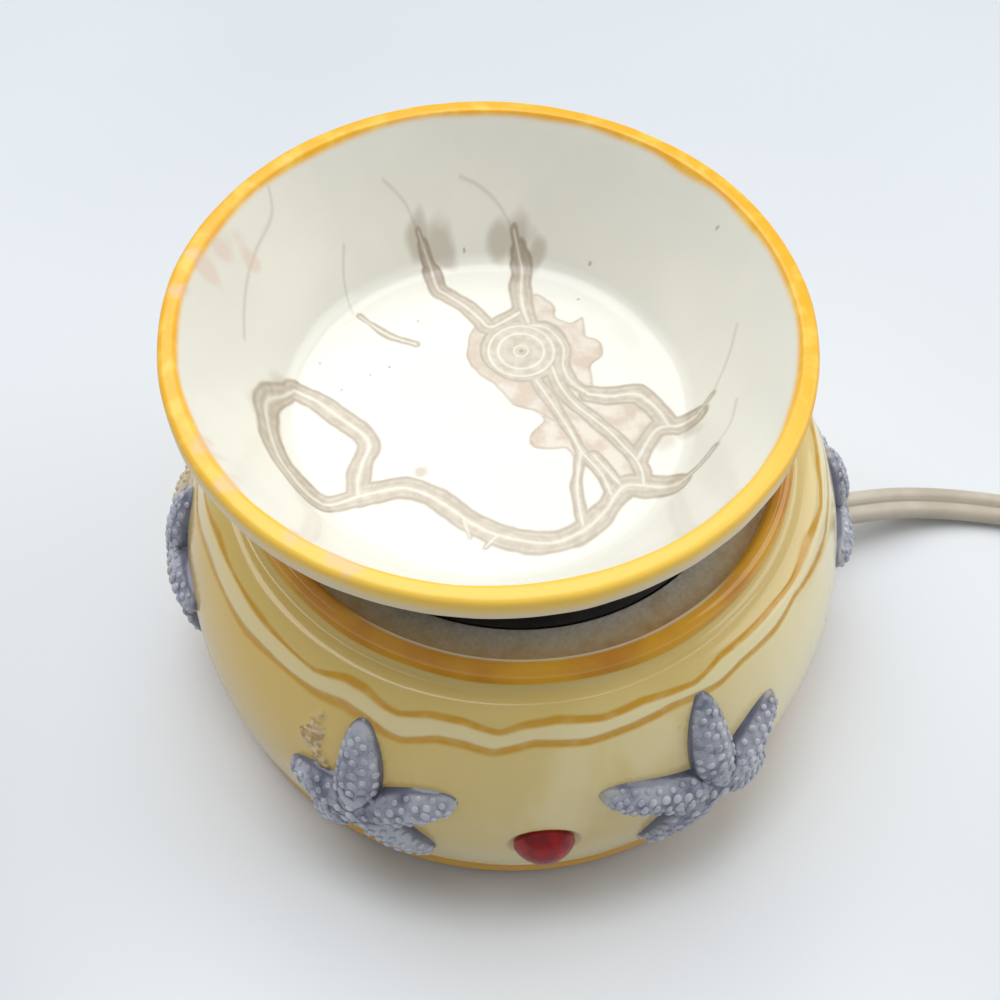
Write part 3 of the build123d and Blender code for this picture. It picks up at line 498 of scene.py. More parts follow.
# The two wavy lines of the shoulder: azimuth and height, the back made up in the same manner
UPPER_LINE = [
    (-53.3, 53.5), (-47.6, 53.3), (-41.5, 53.1), (-35.8, 54.5), (-31.5, 54.4), (-27.7, 53.2), (-25.2, 52.8),
    (-19.9, 54.0), (-14.3, 54.0), (-8.1, 52.8), (-4.2, 54.0), (1.5, 54.5), (9.1, 53.8), (16.4, 54.5),
    (26.4, 53.8), (32.6, 54.9), (41.3, 54.9), (47.0, 54.9), (54.0, 54.6), (63.2, 54.9), (72, 53.9),
    (80, 54.8),
    (90, 54.7), (98, 53.6), (107, 54.6), (118, 54.7), (127, 53.5), (136, 54.5), (147, 54.6), (156, 53.6),
    (166, 54.6), (177, 54.6), (187, 53.5), (196, 54.4), (206, 54.5), (215, 53.4), (225, 54.5), (236, 54.4),
    (246, 53.3), (255, 54.3), (266, 54.4), (276, 53.3), (286, 54.3), (297, 54.0),
]
LOWER_LINE = [
    (-57.4, 48.8), (-49.8, 49.3), (-40.4, 49.3), (-34.7, 50.2), (-30.3, 49.5), (-26.5, 48.2), (-23.9, 48.0),
    (-18.2, 50.2), (-14.0, 50.1), (-9.1, 49.0), (-2.4, 51.0), (6.2, 50.2), (13.4, 51.0), (21.4, 51.9),
    (26.2, 51.5), (30.9, 51.2), (36.2, 52.2), (45.6, 52.1), (52.4, 52.9), (60, 51.7), (70, 50.3), (80, 51.6),
    (90, 51.4), (99, 49.9), (108, 51.3), (118, 51.3), (128, 49.8), (138, 51.2), (148, 51.1), (157, 49.8),
    (167, 51.2), (177, 51.1), (187, 49.7), (197, 51.0), (207, 50.9), (216, 49.5), (226, 50.8), (236, 50.6),
    (246, 49.2), (256, 50.5), (266, 50.3), (276, 48.9), (286, 50.0), (294, 49.6),
]
# A rough run of glaze between two arms of the left front starfish: azimuth, height, half width
GLAZE_RUN = [(-38.0, 46.2, 1.1), (-38.6, 42.6, 1.5), (-39.2, 38.6, 2.5), (-37.7, 36.4, 2.1),
             (-36.7, 33.2, 1.8), (-35.7, 29.0, 1.5)]


def side_radius(z):
    """Radius of the body's side at height z, foot to neck."""
    z = np.asarray(z, float)
    low = BELLY_R - FOOT_ARC_R + np.sqrt(np.maximum(FOOT_ARC_R ** 2 - (z - BELLY_Z) ** 2, 0))
    high = BELLY_R - BELLY_ARC_R + np.sqrt(np.maximum(BELLY_ARC_R ** 2 - (z - BELLY_Z) ** 2, 0))
    top = NECK_R + np.sqrt(np.maximum(SHOULDER_R ** 2 - (z - NECK_Z + SHOULDER_R) ** 2, 0))
    join_z = BELLY_Z + BELLY_ARC_R * math.sin(math.radians(SHOULDER_JOIN))
    return np.where(z < BELLY_Z, low, np.where(z < join_z, high, top))


def body_profile():
    """Closed section of the body, radius and height, and how many of its points are glazed outside."""
    outside = [(BASE_RING_R, FOOT_GAP)]
    outside += arc(FOOT_R - FOOT_EDGE_R, FOOT_GAP + FOOT_EDGE_R, FOOT_EDGE_R, -90, 0, 6)
    low = -math.degrees(math.asin((BELLY_Z - FOOT_BAND_Z) / FOOT_ARC_R))
    outside += arc(BELLY_R - FOOT_ARC_R, BELLY_Z, FOOT_ARC_R, low, 0, 44)
    outside += arc(BELLY_R - BELLY_ARC_R, BELLY_Z, BELLY_ARC_R, 0, SHOULDER_JOIN, 80)[1:]
    outside += arc(NECK_R, NECK_Z - SHOULDER_R, SHOULDER_R, SHOULDER_JOIN, 90, 26)[1:]
    outside += arc(NECK_R, NECK_Z + NECK_FILLET, NECK_FILLET, 270, 180, 6)[1:]
    outside += arc(LIP_OUTER_R - LIP_ROUND_R, LIP_MID_Z, LIP_ROUND_R, 0, 180, 24)
    outside += [(LIP_INNER_R, LEDGE_Z + 0.5), (LIP_INNER_R - 0.15, LEDGE_Z + 0.15),
                (LIP_INNER_R - 0.5, LEDGE_Z)]
    ledge = [(SEAT_R + 0.4, LEDGE_Z), (SEAT_R + 0.1, LEDGE_Z - 0.1), (SEAT_R, LEDGE_Z - 0.4),
             (SEAT_R, SEAT_Z), (MOUTH_R, SEAT_Z), (MOUTH_R, CEILING_Z)]
    inside = [(NECK_R - 4.0, CEILING_Z)]
    inside += [(float(side_radius(z)) - BODY_WALL, z) for z in (47.0, 40.0, 30.0, 20.0, 12.0, SHELF_Z)]
    inside += [(SHELF_R, SHELF_Z), (SHELF_R, PLATE_SEAM_Z), (BASE_RING_R, PLATE_SEAM_Z)]
    glazed = respaced(outside, 0.45)
    return glazed + respaced(ledge, 0.5) + inside, len(glazed)


def line_height(table, azimuth):
    """Height of a wavy line at an azimuth, smoothed."""
    knots = np.array(table + [(table[0][0] + 360, table[0][1])], float)
    fine = np.linspace(-180, 180, FINE_STEPS)
    span = (fine - knots[0, 0]) % 360 + knots[0, 0]
    heights = np.interp(span, knots[:, 0], knots[:, 1])
    kernel = np.exp(-np.linspace(-2, 2, 13) ** 2)
    padded = np.concatenate([heights[-7:-1], heights, heights[1:7]])
    smooth = np.convolve(padded, kernel / kernel.sum(), "valid")
    return np.interp((azimuth + 180) % 360 - 180, fine, smooth)


def glaze_lumps(azimuth, z, rough):
    """How much of the rough run of glaze lies at each point."""
    lumps = np.zeros_like(z)
    for (a, low_z, wide), (b, high_z, next_wide) in zip(GLAZE_RUN, GLAZE_RUN[1:]):
        for t in np.linspace(0, 1, 5):
            beside = (azimuth - a - (b - a) * t) * BELLY_DEGREE
            away = np.hypot(beside, z - low_z - (high_z - low_z) * t) + 0.7 * rough
            size = wide + (next_wide - wide) * t
            lumps = np.maximum(lumps, smooth_step(size * 1.15, size * 0.55, away))
    return lumps


def make_body():
    profile, glazed = body_profile()
    azimuth, radius, z = turned(profile, BODY_COLUMNS)
    azimuth = (azimuth + 180) % 360 - 180
    flat = around(azimuth, radius, z)
    row = np.arange(len(profile))[:, None]
    glaze = row < glazed
    outer = glaze & (z > FOOT_GAP + FOOT_EDGE_R)
    side = outer & (z < NECK_Z - 0.2)
    # Wavy lines, with a strength that falls off from each line's middle, and the side between and over them
    reach = 0.84 - 0.36 * np.clip((z - 44) / 12, 0, 1) ** 3
    thick = 1 + 0.35 * wobble(flat, (3, 3, 1), 3)
    up = line_height(UPPER_LINE, azimuth)
    low = line_height(LOWER_LINE, azimuth)
    upper = np.exp(-((z - up) / (reach * 0.75 * thick)) ** 2) * side
    lower = np.exp(-((z - low) / (reach * thick)) ** 2) * side
    line = np.clip(upper + lower, 0, 1)
    between = smooth_step(-0.3, 0.3, z - low) * smooth_step(-0.3, 0.3, up - z) * side
    above = smooth_step(-0.3, 0.3, z - up) * outer
    # The amber lip, with a painted highlight along the front of its inner edge, and the foot band, both with
    # an uneven edge
    uneven = z + 0.25 * wobble(flat, (2, 2, 0), 11)
    lip = smooth_step(NECK_Z + 0.9, NECK_Z + 1.5, uneven) * glaze
    foot = smooth_step(FOOT_COLOUR_Z + 0.4, FOOT_COLOUR_Z - 0.3, uneven) * glaze
    # Painted highlight: a thin pale line along the lip's inner crest, at the front only
    worn = np.exp(-((radius - LIP_INNER_R - 0.8) / 0.3) ** 2) * (z > LIP_MID_Z)
    worn *= smooth_step(-44, -30, azimuth) * smooth_step(48, 34, azimuth)
    # The bare ledge, rusty towards the lip
    bare = (row >= glazed - 3) & (radius > SEAT_R - 0.6) & (z > SEAT_Z + 0.1)
    bare = np.where(glaze & bare, 0.5, bare * 1.0)
    rust = bare * smooth_step(43.2, 46.4, radius)
    rough = wobble(flat, 14, 5)
    lumps = glaze_lumps(azimuth, z, rough) * side
    # Shape: gentle unevenness, lines and a groove pressed into the clay, a dip round the lens
    swell = 0.16 * wobble(flat, 1, 1) + 0.05 * wobble(flat, 4, 2)
    fade = smooth_step(FOOT_BAND_Z, FOOT_BAND_Z + 3, z) * smooth_step(NECK_Z, NECK_Z - 1.5, z)
    to_lens = np.hypot(azimuth * math.radians(1) * radius, z - LENS_Z)
    dip = LENS_DIP * smooth_step(LENS_R + 1.3, LENS_R + 0.2, to_lens)
    groove = GROOVE_DEPTH * np.exp(-((z - FOOT_COLOUR_Z - 0.5) / 0.6) ** 2)
    relief = lumps * (0.45 + 0.3 * rough + 0.25 * wobble(flat, 34, 6))
    shift = (swell * fade - LINE_DEPTH * line - groove - dip + relief) * side
    shift += 0.08 * wobble(flat, (2, 2, 1), 9) * (outer & ~side)
    points = around(azimuth, radius + shift, z).reshape(-1, 3)
    piece = new_mesh("body_skin", points, grid_faces(len(profile), BODY_COLUMNS, wrap_rows=True))
    masks(piece, line=line, between=between, above=above, lip=lip, foot=foot, bare=bare, lump=lumps,
          worn=worn, rust=rust)
    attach(piece, "base")
    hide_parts("body_shell")
    return piece


def glaze_paint():
    paint = Paint("body_glaze")
    x, _, z = paint.axes()
    tone = paint.mix(paint.patches(0.045, 4, 0.38, 0.66, rough=0.55), CREAM, OLIVE)
    # Yellower to the left, paler to the right and near the foot; the paler right side and lower belly are
    # partly the glaze's own tone and partly painted light
    tone = paint.mix(paint.ramp(x, 0, -52, 0, 0.75), tone, YELLOW)
    tone = paint.mix(paint.ramp(x, 8, 52, 0, 0.85), tone, PALE_CREAM)
    tone = paint.mix(paint.ramp(z, 25, 9, 0, 0.75), tone, PALE_CREAM)
    streak = paint.patches(0.05, 3, 0.52, 0.7, 0, 0.45, rough=0.55, at=paint.scaled(1, 1, 0.25))
    tone = paint.mix(streak, tone, PALE_CREAM)
    tone = paint.wash(tone, "between", 0.55, PALE_CREAM)
    tone = paint.wash(tone, "above", 0.7, OLIVE)
    tone = paint.mix(paint.patches(0.5, 3, 0.72, 0.8, 0, 0.35), tone, SPECK_BROWN)
    line = paint.times(paint.ramp(paint.value("line"), 0.12, 0.8), paint.patches(0.4, 2, 0.2, 0.6, 0.75, 1))
    tone = paint.mix(line, tone, LINE_AMBER)
    amber = paint.mix(paint.patches(0.08, 2, 0.35, 0.7), LIP_AMBER, DEEP_AMBER)
    tone = paint.mix(paint.value("lip"), tone, amber)
    # Painted highlight along the front of the lip's inner crest
    tone = paint.wash(tone, "worn", 0.9, LIP_HIGHLIGHT)
    foot = paint.value("foot")
    tone = paint.mix(foot, tone, FOOT_AMBER)
    lump = paint.mix(paint.patches(0.9, 3, 0.38, 0.62), RUN_PALE, RUN_BROWN)
    tone = paint.mix(paint.ramp(paint.value("lump"), 0.1, 0.8, 0, 0.8), tone, lump)
    clay = paint.mix(paint.patches(1.4, 4, 0.3, 0.7, rough=0.6), BARE_DARK, BARE_PALE)
    clay = paint.mix(paint.patches(0.13, 4, 0.52, 0.7, 0, 0.45, rough=0.6), clay, BARE_SMUDGE)
    clay = paint.wash(clay, "rust", paint.patches(0.35, 3, 0.5, 0.66, 0, 0.85, rough=0.6), RUST)
    bare = paint.value("bare")
    paint.put("Base Color", paint.mix(bare, tone, clay))
    paint.put("Roughness", paint.ramp(bare, 0.3, 0.8, 0.16, 0.85))
    coat = paint.times(paint.ramp(bare, 0.3, 0.8, 0.45, 0), paint.ramp(foot, 0, 1, 1, 0.2))
    paint.put("Coat Weight", coat)
    paint.bump(paint.times(paint.noise(2.2), paint.ramp(bare, 0.3, 0.8, 0.05, 1)), 0.35, 0.25)
    return paint


# Starfish, in their own flat plan: u runs round the body, v up it

# Arms of each starfish by its azimuth: lean from upright in degrees, and length. The two front ones are
# measured in the photograph, the rest is made up alike.
STARS = {
    28.4: [(-5, 23.4), (50, 19.4), (125, 18.0), (-143, 20.6), (-68, 24.4)],
    90: [(-2, 18.6), (70, 19.0), (146, 17.8), (-145, 18.4), (-73, 18.8)],
    150: [(3, 19.4), (76, 17.8), (141, 19.2), (-141, 18.0), (-69, 19.8)],
    -150: [(-6, 18.2), (64, 19.6), (138, 18.4), (-150, 19.0), (-77, 17.8)],
    -90: [(1, 18.6), (73, 18.4), (143, 18.8), (-147, 18.2), (-71, 18.6)],
    -30: [(-1.5, 21.0), (64, 19.7), (137, 19.2), (-146, 17.0), (-87, 14.6)],
}
# Where a star's colour has worn off to the cream under it: u, v, radius
FADED = {-90: [(-13.0, 5.0, 8.0), (7.5, -1.5, 6.5)], 28.4: [(-5.2, 23.0, 2.2)], -30: [(17.8, 8.8, 2.0)]}
# Rows of beads on an arm: place across it as a share of its half width, steps along, half width, half length
BEAD_ROWS = ((0, 0, 1.0, 0.8), (-0.42, 0.5, 0.86, 0.8), (0.42, 0.5, 0.86, 0.8), (-0.8, 0, 0.74, 0.76),
             (0.8, 0, 0.74, 0.76))
BEAD_START = 2.8
BEAD_END = 1.3                  # bare length at an arm's tip
BEAD_LEVELS = (-0.55, -0.15, 0.25, 0.6, 0.86)
BEAD_SIDES = 12


def arm_width(along, length):
    """Half width of an arm at a distance from the star's middle: widest past its root, with a blunt tip."""
    outer = np.clip((along / length - 0.36) / 0.64, 0, 1)
    behind = np.clip(-along / (0.88 * STAR_W), 0, 1)
    width = STAR_W * (0.92 + 0.08 * smooth_step(0, 0.4, along / length))
    return width * np.sqrt(1 - outer ** 2.2) * np.sqrt(1 - behind ** 2)


def arm_bend(along, lean):
    """How far an arm's middle line bends to the side."""
    return 0.3 * np.sin(along * 0.25 + lean)


def star_field(u, v, arms):
    """Height over the glaze, depth into the star (under 0 outside), share along its arm, and crease."""
    best = np.full(np.shape(u), -9.0)
    second = np.full(np.shape(u), -9.0)
    share = np.zeros(np.shape(u))
    height = np.zeros(np.shape(u))
    for lean, length in arms:
        way = math.radians(lean)
        along = u * math.sin(way) + v * math.cos(way)
        across = u * math.cos(way) - v * math.sin(way) - arm_bend(along, lean)
        width = arm_width(along, length)
        depth = np.where(width > 0.1, 1 - np.abs(across) / np.maximum(width, 0.1), -9)
        dome = np.sqrt(1 - (1 - np.clip(depth, 0, 1)) ** 2)
        part = np.clip(along / length, 0, 1)
        height = np.maximum(height, STAR_H * (width / STAR_W) ** 0.9 * (1 - 0.25 * part) * dome)
        nearer = depth > best
        second = np.where(nearer, best, np.maximum(second, depth))
        share = np.where(nearer, part, share)
        best = np.where(nearer, depth, best)
    crease = np.exp(-((best - second) / 0.16) ** 2) * (second > 0.02)
    middle = np.exp(-(u * u + v * v) / 30)
    return height - 0.5 * crease * (1 - middle), best, share, crease


def star_surface(azimuth, u, v, height):
    z = STAR_Z + v
    return around(azimuth + np.degrees(u / BELLY_R), side_radius(z) + height, z)


def star_outline(arms, angle):
    """Distance from the star's middle to its outline in each direction."""
    def inside(reach):
        return star_field(reach * np.sin(angle), reach * np.cos(angle), arms)[1] > 0

    low = np.full(angle.shape, 1.0)
    for reach in np.linspace(26.0, 2.0, 90):
        low = np.where(inside(reach) & (low < reach), reach, low)
    high = low + 0.5
    for _ in range(14):
        middle = (low + high) / 2
        within = inside(middle)
        low = np.where(within, middle, low)
        high = np.where(within, high, middle)
    return low


def bead_places(arms, seed):
    """Beads of a star: middle u, v, half width across the arm, half length along it, and the arm's lean."""
    local = np.random.default_rng(seed)
    beads = [(0.0, 0.0, 1.1, 1.1, 0.0)]
    for lean, length in arms:
        way = math.radians(lean)
        for index in range(int(length / BEAD_STEP)):
            for share, step, wide, long in BEAD_ROWS if index else BEAD_ROWS[:1]:
                along = BEAD_START + (index + step) * BEAD_STEP
                if along > length - BEAD_END:
                    continue
                width = float(arm_width(along, length))
                across = share * width + local.uniform(-0.2, 0.2) + arm_bend(along, lean)
                along += local.uniform(-0.25, 0.25)
                scale = local.uniform(0.78, 1.12) * (0.6 + 0.4 * width / STAR_W)
                u = along * math.sin(way) + across * math.cos(way)
                v = along * math.cos(way) - across * math.sin(way)
                beads.append((u, v, wide * scale, long * scale, way))
    return beads


def bead_points(azimuth, arms, u, v, wide, long, lean):
    """Foot, rings and top of one bead, an oblate dome set into its arm."""
    probe = 0.05
    at_u, at_v = np.array([u, u + probe, u]), np.array([v, v, v + probe])
    here, beside, above = star_surface(azimuth, at_u, at_v, star_field(at_u, at_v, arms)[0])
    normal = np.cross(beside - here, above - here)
    normal /= np.linalg.norm(normal)
    way = (beside - here) * math.sin(lean) + (above - here) * math.cos(lean)
    way -= normal * (way @ normal)
    way /= np.linalg.norm(way)
    across = np.cross(way, normal)
    tall = 0.55 * min(wide, long) + 0.05
    turn = np.linspace(0, 2 * np.pi, BEAD_SIDES + 1)[:-1, None]
    circle = across * wide * np.cos(turn) + way * long * np.sin(turn)
    rings = [here + circle * math.sqrt(1 - level ** 2) + normal * tall * level for level in BEAD_LEVELS]
    return np.concatenate([[here - normal * tall], *rings, [here + normal * tall]])


def make_star(index, azimuth, arms):
    # The directions are spaced evenly along the outline
    coarse = np.linspace(0, 2 * np.pi, FINE_STEPS)
    outline = star_outline(arms, coarse)
    step = np.hypot(np.diff(outline), outline[:-1] * np.diff(coarse))
    travelled = np.concatenate([[0], np.cumsum(step)])
    angle = np.interp(np.arange(STAR_COLUMNS) / STAR_COLUMNS * travelled[-1], travelled, coarse)
    edge = star_outline(arms, angle)
    share = np.linspace(0, 1, STAR_ROWS + 1)[1:, None] ** 0.8
    u = np.sin(angle) * edge * share
    v = np.cos(angle) * edge * share
    height, depth, along, crease = star_field(u, v, arms)
    height = height + 0.10 * wobble(np.stack([u, v, 0 * u], -1), 9, 20 + index) * np.clip(depth * 3, 0, 1)
    # From the middle out over the arms, down a skirt into the glaze, and back under to the middle
    middle = np.zeros(1)
    skirt_u, skirt_v = np.sin(angle) * (edge + 0.1), np.cos(angle) * (edge + 0.1)
    points = [star_surface(azimuth, middle, middle, star_field(middle, middle, arms)[0]),
              star_surface(azimuth, u, v, height).reshape(-1, 3),
              star_surface(azimuth, skirt_u, skirt_v, np.full(STAR_COLUMNS, -STAR_SINK)),
              star_surface(azimuth, middle, middle, middle - STAR_SINK)]
    faces = closed_faces(STAR_ROWS + 1, STAR_COLUMNS)
    count = own = sum(len(block) for block in points)
    for place in bead_places(arms, 40 + index):
        points.append(bead_points(azimuth, arms, *place))
        faces += closed_faces(len(BEAD_LEVELS), BEAD_SIDES, count)
        count += len(points[-1])
    points = np.concatenate(points)
    # Masks: crevices, tips, beads, and where the colour has worn off to the cream under it
    deep = np.exp(-(np.clip(depth, 0, 1) / 0.10) ** 2) + crease
    deep = np.concatenate([[0], deep.ravel(), np.ones(STAR_COLUMNS + 1), np.zeros(count - own)])
    tip = np.concatenate([[0], along.ravel(), np.ones(STAR_COLUMNS), np.zeros(count - own + 1)])
    faded = np.zeros(count)
    for worn_u, worn_v, size in FADED.get(azimuth, []):
        at = star_surface(azimuth, middle + worn_u, middle + worn_v, middle + 2)
        away = np.linalg.norm(points - at, axis=1) + 1.2 * wobble(points, 6, 81)
        faded = np.maximum(faded, smooth_step(size, size * 0.55, away))
    piece = new_mesh(f"starfish_{index}", points, faces)
    masks(piece, faded=faded, deep=deep, tip=tip, bead=np.arange(count) >= own)
    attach(piece, "base")
    return piece


def star_paint():
    paint = Paint("star_glaze", roughness=0.22, coat=0.5, coat_roughness=0.06)
    tone = paint.mix(paint.patches(0.35, 3, 0.35, 0.68), STAR_BLUE, STAR_DARK)
    tone = paint.mix(paint.patches(0.14, 3, 0.44, 0.66, 0, 0.75), tone, STAR_LIGHT)
    tone = paint.mix(paint.ramp(paint.value("deep"), 0.1, 0.9, 0, 0.85), tone, STAR_DARK)
    tip = paint.times(paint.ramp(paint.value("tip"), 0.86, 1), paint.patches(0.1, 2, 0.42, 0.6, 0, 0.45))
    tone = paint.mix(tip, tone, STAR_TIP)
    tone = paint.wash(tone, "bead", 0.72, paint.mix(paint.patches(0.3, 3, 0.35, 0.65), STAR_BEAD, STAR_BLUE))
    paint.put("Base Color", paint.wash(tone, "faded", 0.8, STAR_WORN))
    knobs = paint.calc("ADD", paint.cells(0.55, feature="SMOOTH_F1"), paint.times(paint.noise(1.6), 0.35))
    paint.bump(knobs, 0.3, 0.5)
    return paint


# Melting dish

DISH_FLOOR_Z = PLATE_TOP_Z + DISH_H - DISH_DEPTH
DISH_TOP_Z = PLATE_TOP_Z + DISH_H
DISH_SLOPE = math.atan2(DISH_DEPTH, RIM_R - RIM_W - DISH_FLOOR_R)
# Crackle stains on the dish: half width, then x and y from the dish's middle, looked at from above
STAINS = [
    (2.2, [(-23.6, -16.6), (-23.5, -13.5), (-22.5, -9.8), (-21.1, -6.0), (-22.3, -3.3), (-26.2, 0.6),
            (-30.2, 4.5), (-34.1, 7.1)]),
    (2.0, [(-34.1, 7.1), (-38.1, 2.7), (-38.5, -1.7), (-37.0, -8.6), (-34.5, -12.7), (-31.4, -16.7),
           (-28.5, -18.2), (-23.6, -16.8)]),
    (2.35, [(-23.6, -16.8), (-19.3, -15.9), (-15.7, -15.6), (-11.9, -17.3), (-7.5, -21.0), (-4.7, -23.8),
            (-0.4, -26.4), (7.5, -28.6), (13.8, -26.5), (18.2, -22.7), (20.5, -19.6), (22.8, -17.9),
            (27.7, -18.7), (30.8, -19.1)]),
    (0.8, [(30.8, -19.1), (34.3, -18.1), (37.1, -16.0)]),
    (0.7, [(-6.1, -22.9), (-5.2, -26.6)]),
    (0.7, [(-0.7, -26.5), (-2.9, -28.6)]),
    (1.3, [(9.3, 6.4), (11.9, 0.0), (14.3, -6.2), (15.5, -10.1), (18.3, -15.0), (19.5, -19.5)]),
    (1.6, [(12.5, 9.2), (13.6, 4.5), (15.8, 0.2), (18.6, -3.2), (21.1, -6.3), (23.1, -9.6), (24.8, -12.5),
           (25.5, -15.1), (25.4, -17.9)]),
    (1.5, [(9.4, 19.6), (12.6, 18.7), (15.1, 14.1), (14.6, 9.3), (15.7, 5.5), (18.3, 2.7)]),
    (2.2, [(18.3, 2.5), (22.2, 1.7), (26.7, 1.9), (28.7, 0.3), (30.6, -2.5), (31.7, -5.6)]),
    (1.9, [(25.2, -12.5), (28.9, -6.9), (31.7, -5.8), (33.1, -6.0), (36.5, -5.2)]),
    (0.6, [(36.5, -5.2), (39.2, -3.5)]),
    (1.3, [(17.6, -11.1), (21.3, -17.6)]),
    (1.2, [(15.5, -10.1), (14.5, -13.9), (13.8, -18.5), (13.9, -25.5)]),
    (0.7, [(-10.0, 38.7), (-9.2, 37.3)]),
    (1.2, [(-9.2, 37.3), (-8.2, 35.4), (-7.8, 34.0)]),
    (1.8, [(-7.8, 34.0), (-6.9, 29.9), (-5.0, 28.0), (-2.0, 25.0),
           (0.4, 21.8), (2.1, 19.7), (6.0, 21.6), (7.8, 22.8)]),
    (0.8, [(8.2, 38.6), (8.9, 36.4)]),
    (1.5, [(8.9, 36.4), (9.3, 34.6)]),
    (2.1, [(9.3, 34.6), (9.4, 33.0), (8.8, 29.3), (8.6, 24.7), (9.3, 20.4)]),
    (0.7, [(-21.9, 24.0), (-16.9, 19.1), (-12.0, 16.6)]),
]
# Paths of hairlines, and outlines of the brownish pools between the stains
HAIRLINES = [
    [(-16.0, 42.9), (-13.9, 42.2), (-12.0, 41.2), (-10.9, 39.8), (-9.1, 37.3)],
    [(-1.6, 44.7), (1.2, 44.0), (3.9, 42.7), (6.1, 41.0), (8.3, 38.2)],
    [(-36.1, 34.7), (-36.0, 31.6), (-38.8, 25.8), (-40.6, 20.6), (-41.5, 15.0), (-41.7, 10.1)],
    [(-23.9, 33.8), (-24.3, 29.5), (-23.1, 24.8)],
    [(37.1, -16.0), (39.8, -13.4), (41.6, -9.0)],
    [(39.2, -3.5), (42.1, 0.8), (43.9, 5.2)],
]
STAIN_POOLS = [
    [(-0.5, 20.1), (-2.6, 14.4), (-1.4, 8.9), (2.4, 4.4), (4.2, 1.0), (8.0, -0.8), (11.2, -2.9),
     (15.1, -6.3),
     (18.0, -2.3), (20.3, 1.0), (19.7, 4.7), (19.8, 8.7), (22.0, 11.4), (22.3, 14.8), (19.5, 16.4),
     (19.7, 21.1), (16.8, 19.1), (14.2, 21.3), (14.9, 23.7), (11.5, 27.3), (8.2, 24.5), (4.1, 21.8)],
    [(8.0, -0.8), (9.9, -3.0), (6.8, -5.7), (7.2, -8.8), (12.7, -9.6), (14.3, -12.8), (17.1, -10.0),
     (15.2, -5.4)],
    [(15.8, 0.2), (22.2, 1.7), (27.7, 2.3), (31.1, -1.7), (32.2, -6.0), (29.1, -7.8), (26.0, -15.0),
     (24.7, -17.8), (19.8, -18.3), (16.6, -13.4), (14.9, -7.6)],
]
# Soft smudges round the stains: x, y, radius, strength
SMUDGES = [(-5.8, 37.6, 3.6, 0.5), (-10.2, 37.6, 3.4, 0.5), (5.1, 37.6, 3.4, 0.5), (8.6, 37.4, 3.6, 0.5),
           (11.6, 34.7, 2.4, 0.5), (34.0, -7.6, 3.2, 0.55),
           (31.0, -8.9, 3.0, 0.5), (-12.8, -12.4, 2.1, 0.8), (-36.0, 7.0, 3.2, 0.5), (-39.0, 0.0, 2.6, 0.35)]
# Pink spots: x, y, radius
PINK_SPOTS = [(-44.7, 22.3, 3.0), (-40.3, 24.2, 2.2), (-46.8, 17.5, 3.4), (-46.1, -22.3, 2.4),
              (-41.9, -29.5, 2.2), (-32.0, -39.9, 2.6), (-24.7, -44.9, 3.6), (-51.0, 10.0, 2.0)]
# The round stain, and its bright rings: radius, and how much thinner than the other bright lines
TARGET_AT = (7.3, 13.5)
TARGET_R = 7.6
TARGET_RINGS = ((1.3, 1.6), (4.2, 1.0), (6.0, 1.0))
DOTS = [(-11.2, 22.1), (-17.0, 11.4), (-20.5, 9.8), (-29.5, 13.2), (-25.7, 6.7), (-1.4, 37.4), (42.6, 22.4),
        (22.0, 31.1), (19.3, 25.4)]


def smooth_path(points, step=0.6):
    """A Catmull-Rom curve through the points."""
    p = np.array([points[0], *points, points[-1]], float)
    out = []
    for a, b, c, d in zip(p, p[1:], p[2:], p[3:]):
        count = max(2, int(np.linalg.norm(c - b) / step))
        t = (np.arange(count) / count)[:, None]
        out.append(0.5 * (2 * b + (c - a) * t + (2 * a - 5 * b + 4 * c - d) * t ** 2
                          + (3 * b - a - 3 * c + d) * t ** 3))
    out.append(p[-1:])
    return np.concatenate(out)


def to_path(x, y, path):
    """Least distance from points to a polyline."""
    least = np.full(x.shape, 1e9)
    for (ax, ay), (bx, by) in zip(path, path[1:]):
        dx, dy = bx - ax, by - ay
        t = np.clip(((x - ax) * dx + (y - ay) * dy) / (dx * dx + dy * dy + 1e-9), 0, 1)
        least = np.minimum(least, (x - ax - t * dx) ** 2 + (y - ay - t * dy) ** 2)
    return np.sqrt(least)


def in_polygon(x, y, polygon):
    inside = np.zeros(x.shape, bool)
    for (ax, ay), (bx, by) in zip(polygon, np.roll(polygon, -1, axis=0)):
        crosses = (ay > y) != (by > y)
        inside ^= crosses & (x < (bx - ax) * (y - ay) / (by - ay + 1e-12) + ax)
    return inside


def spots(x, y, places, waver, inner_share):
    """Soft round spots: x, y, radius, strength of each."""
    found = np.zeros(x.shape)
    for at_x, at_y, radius, strength in places:
        away = np.hypot(x - at_x, y - at_y) + waver
        found = np.maximum(found, strength * smooth_step(radius, radius * inner_share, away))
    return found


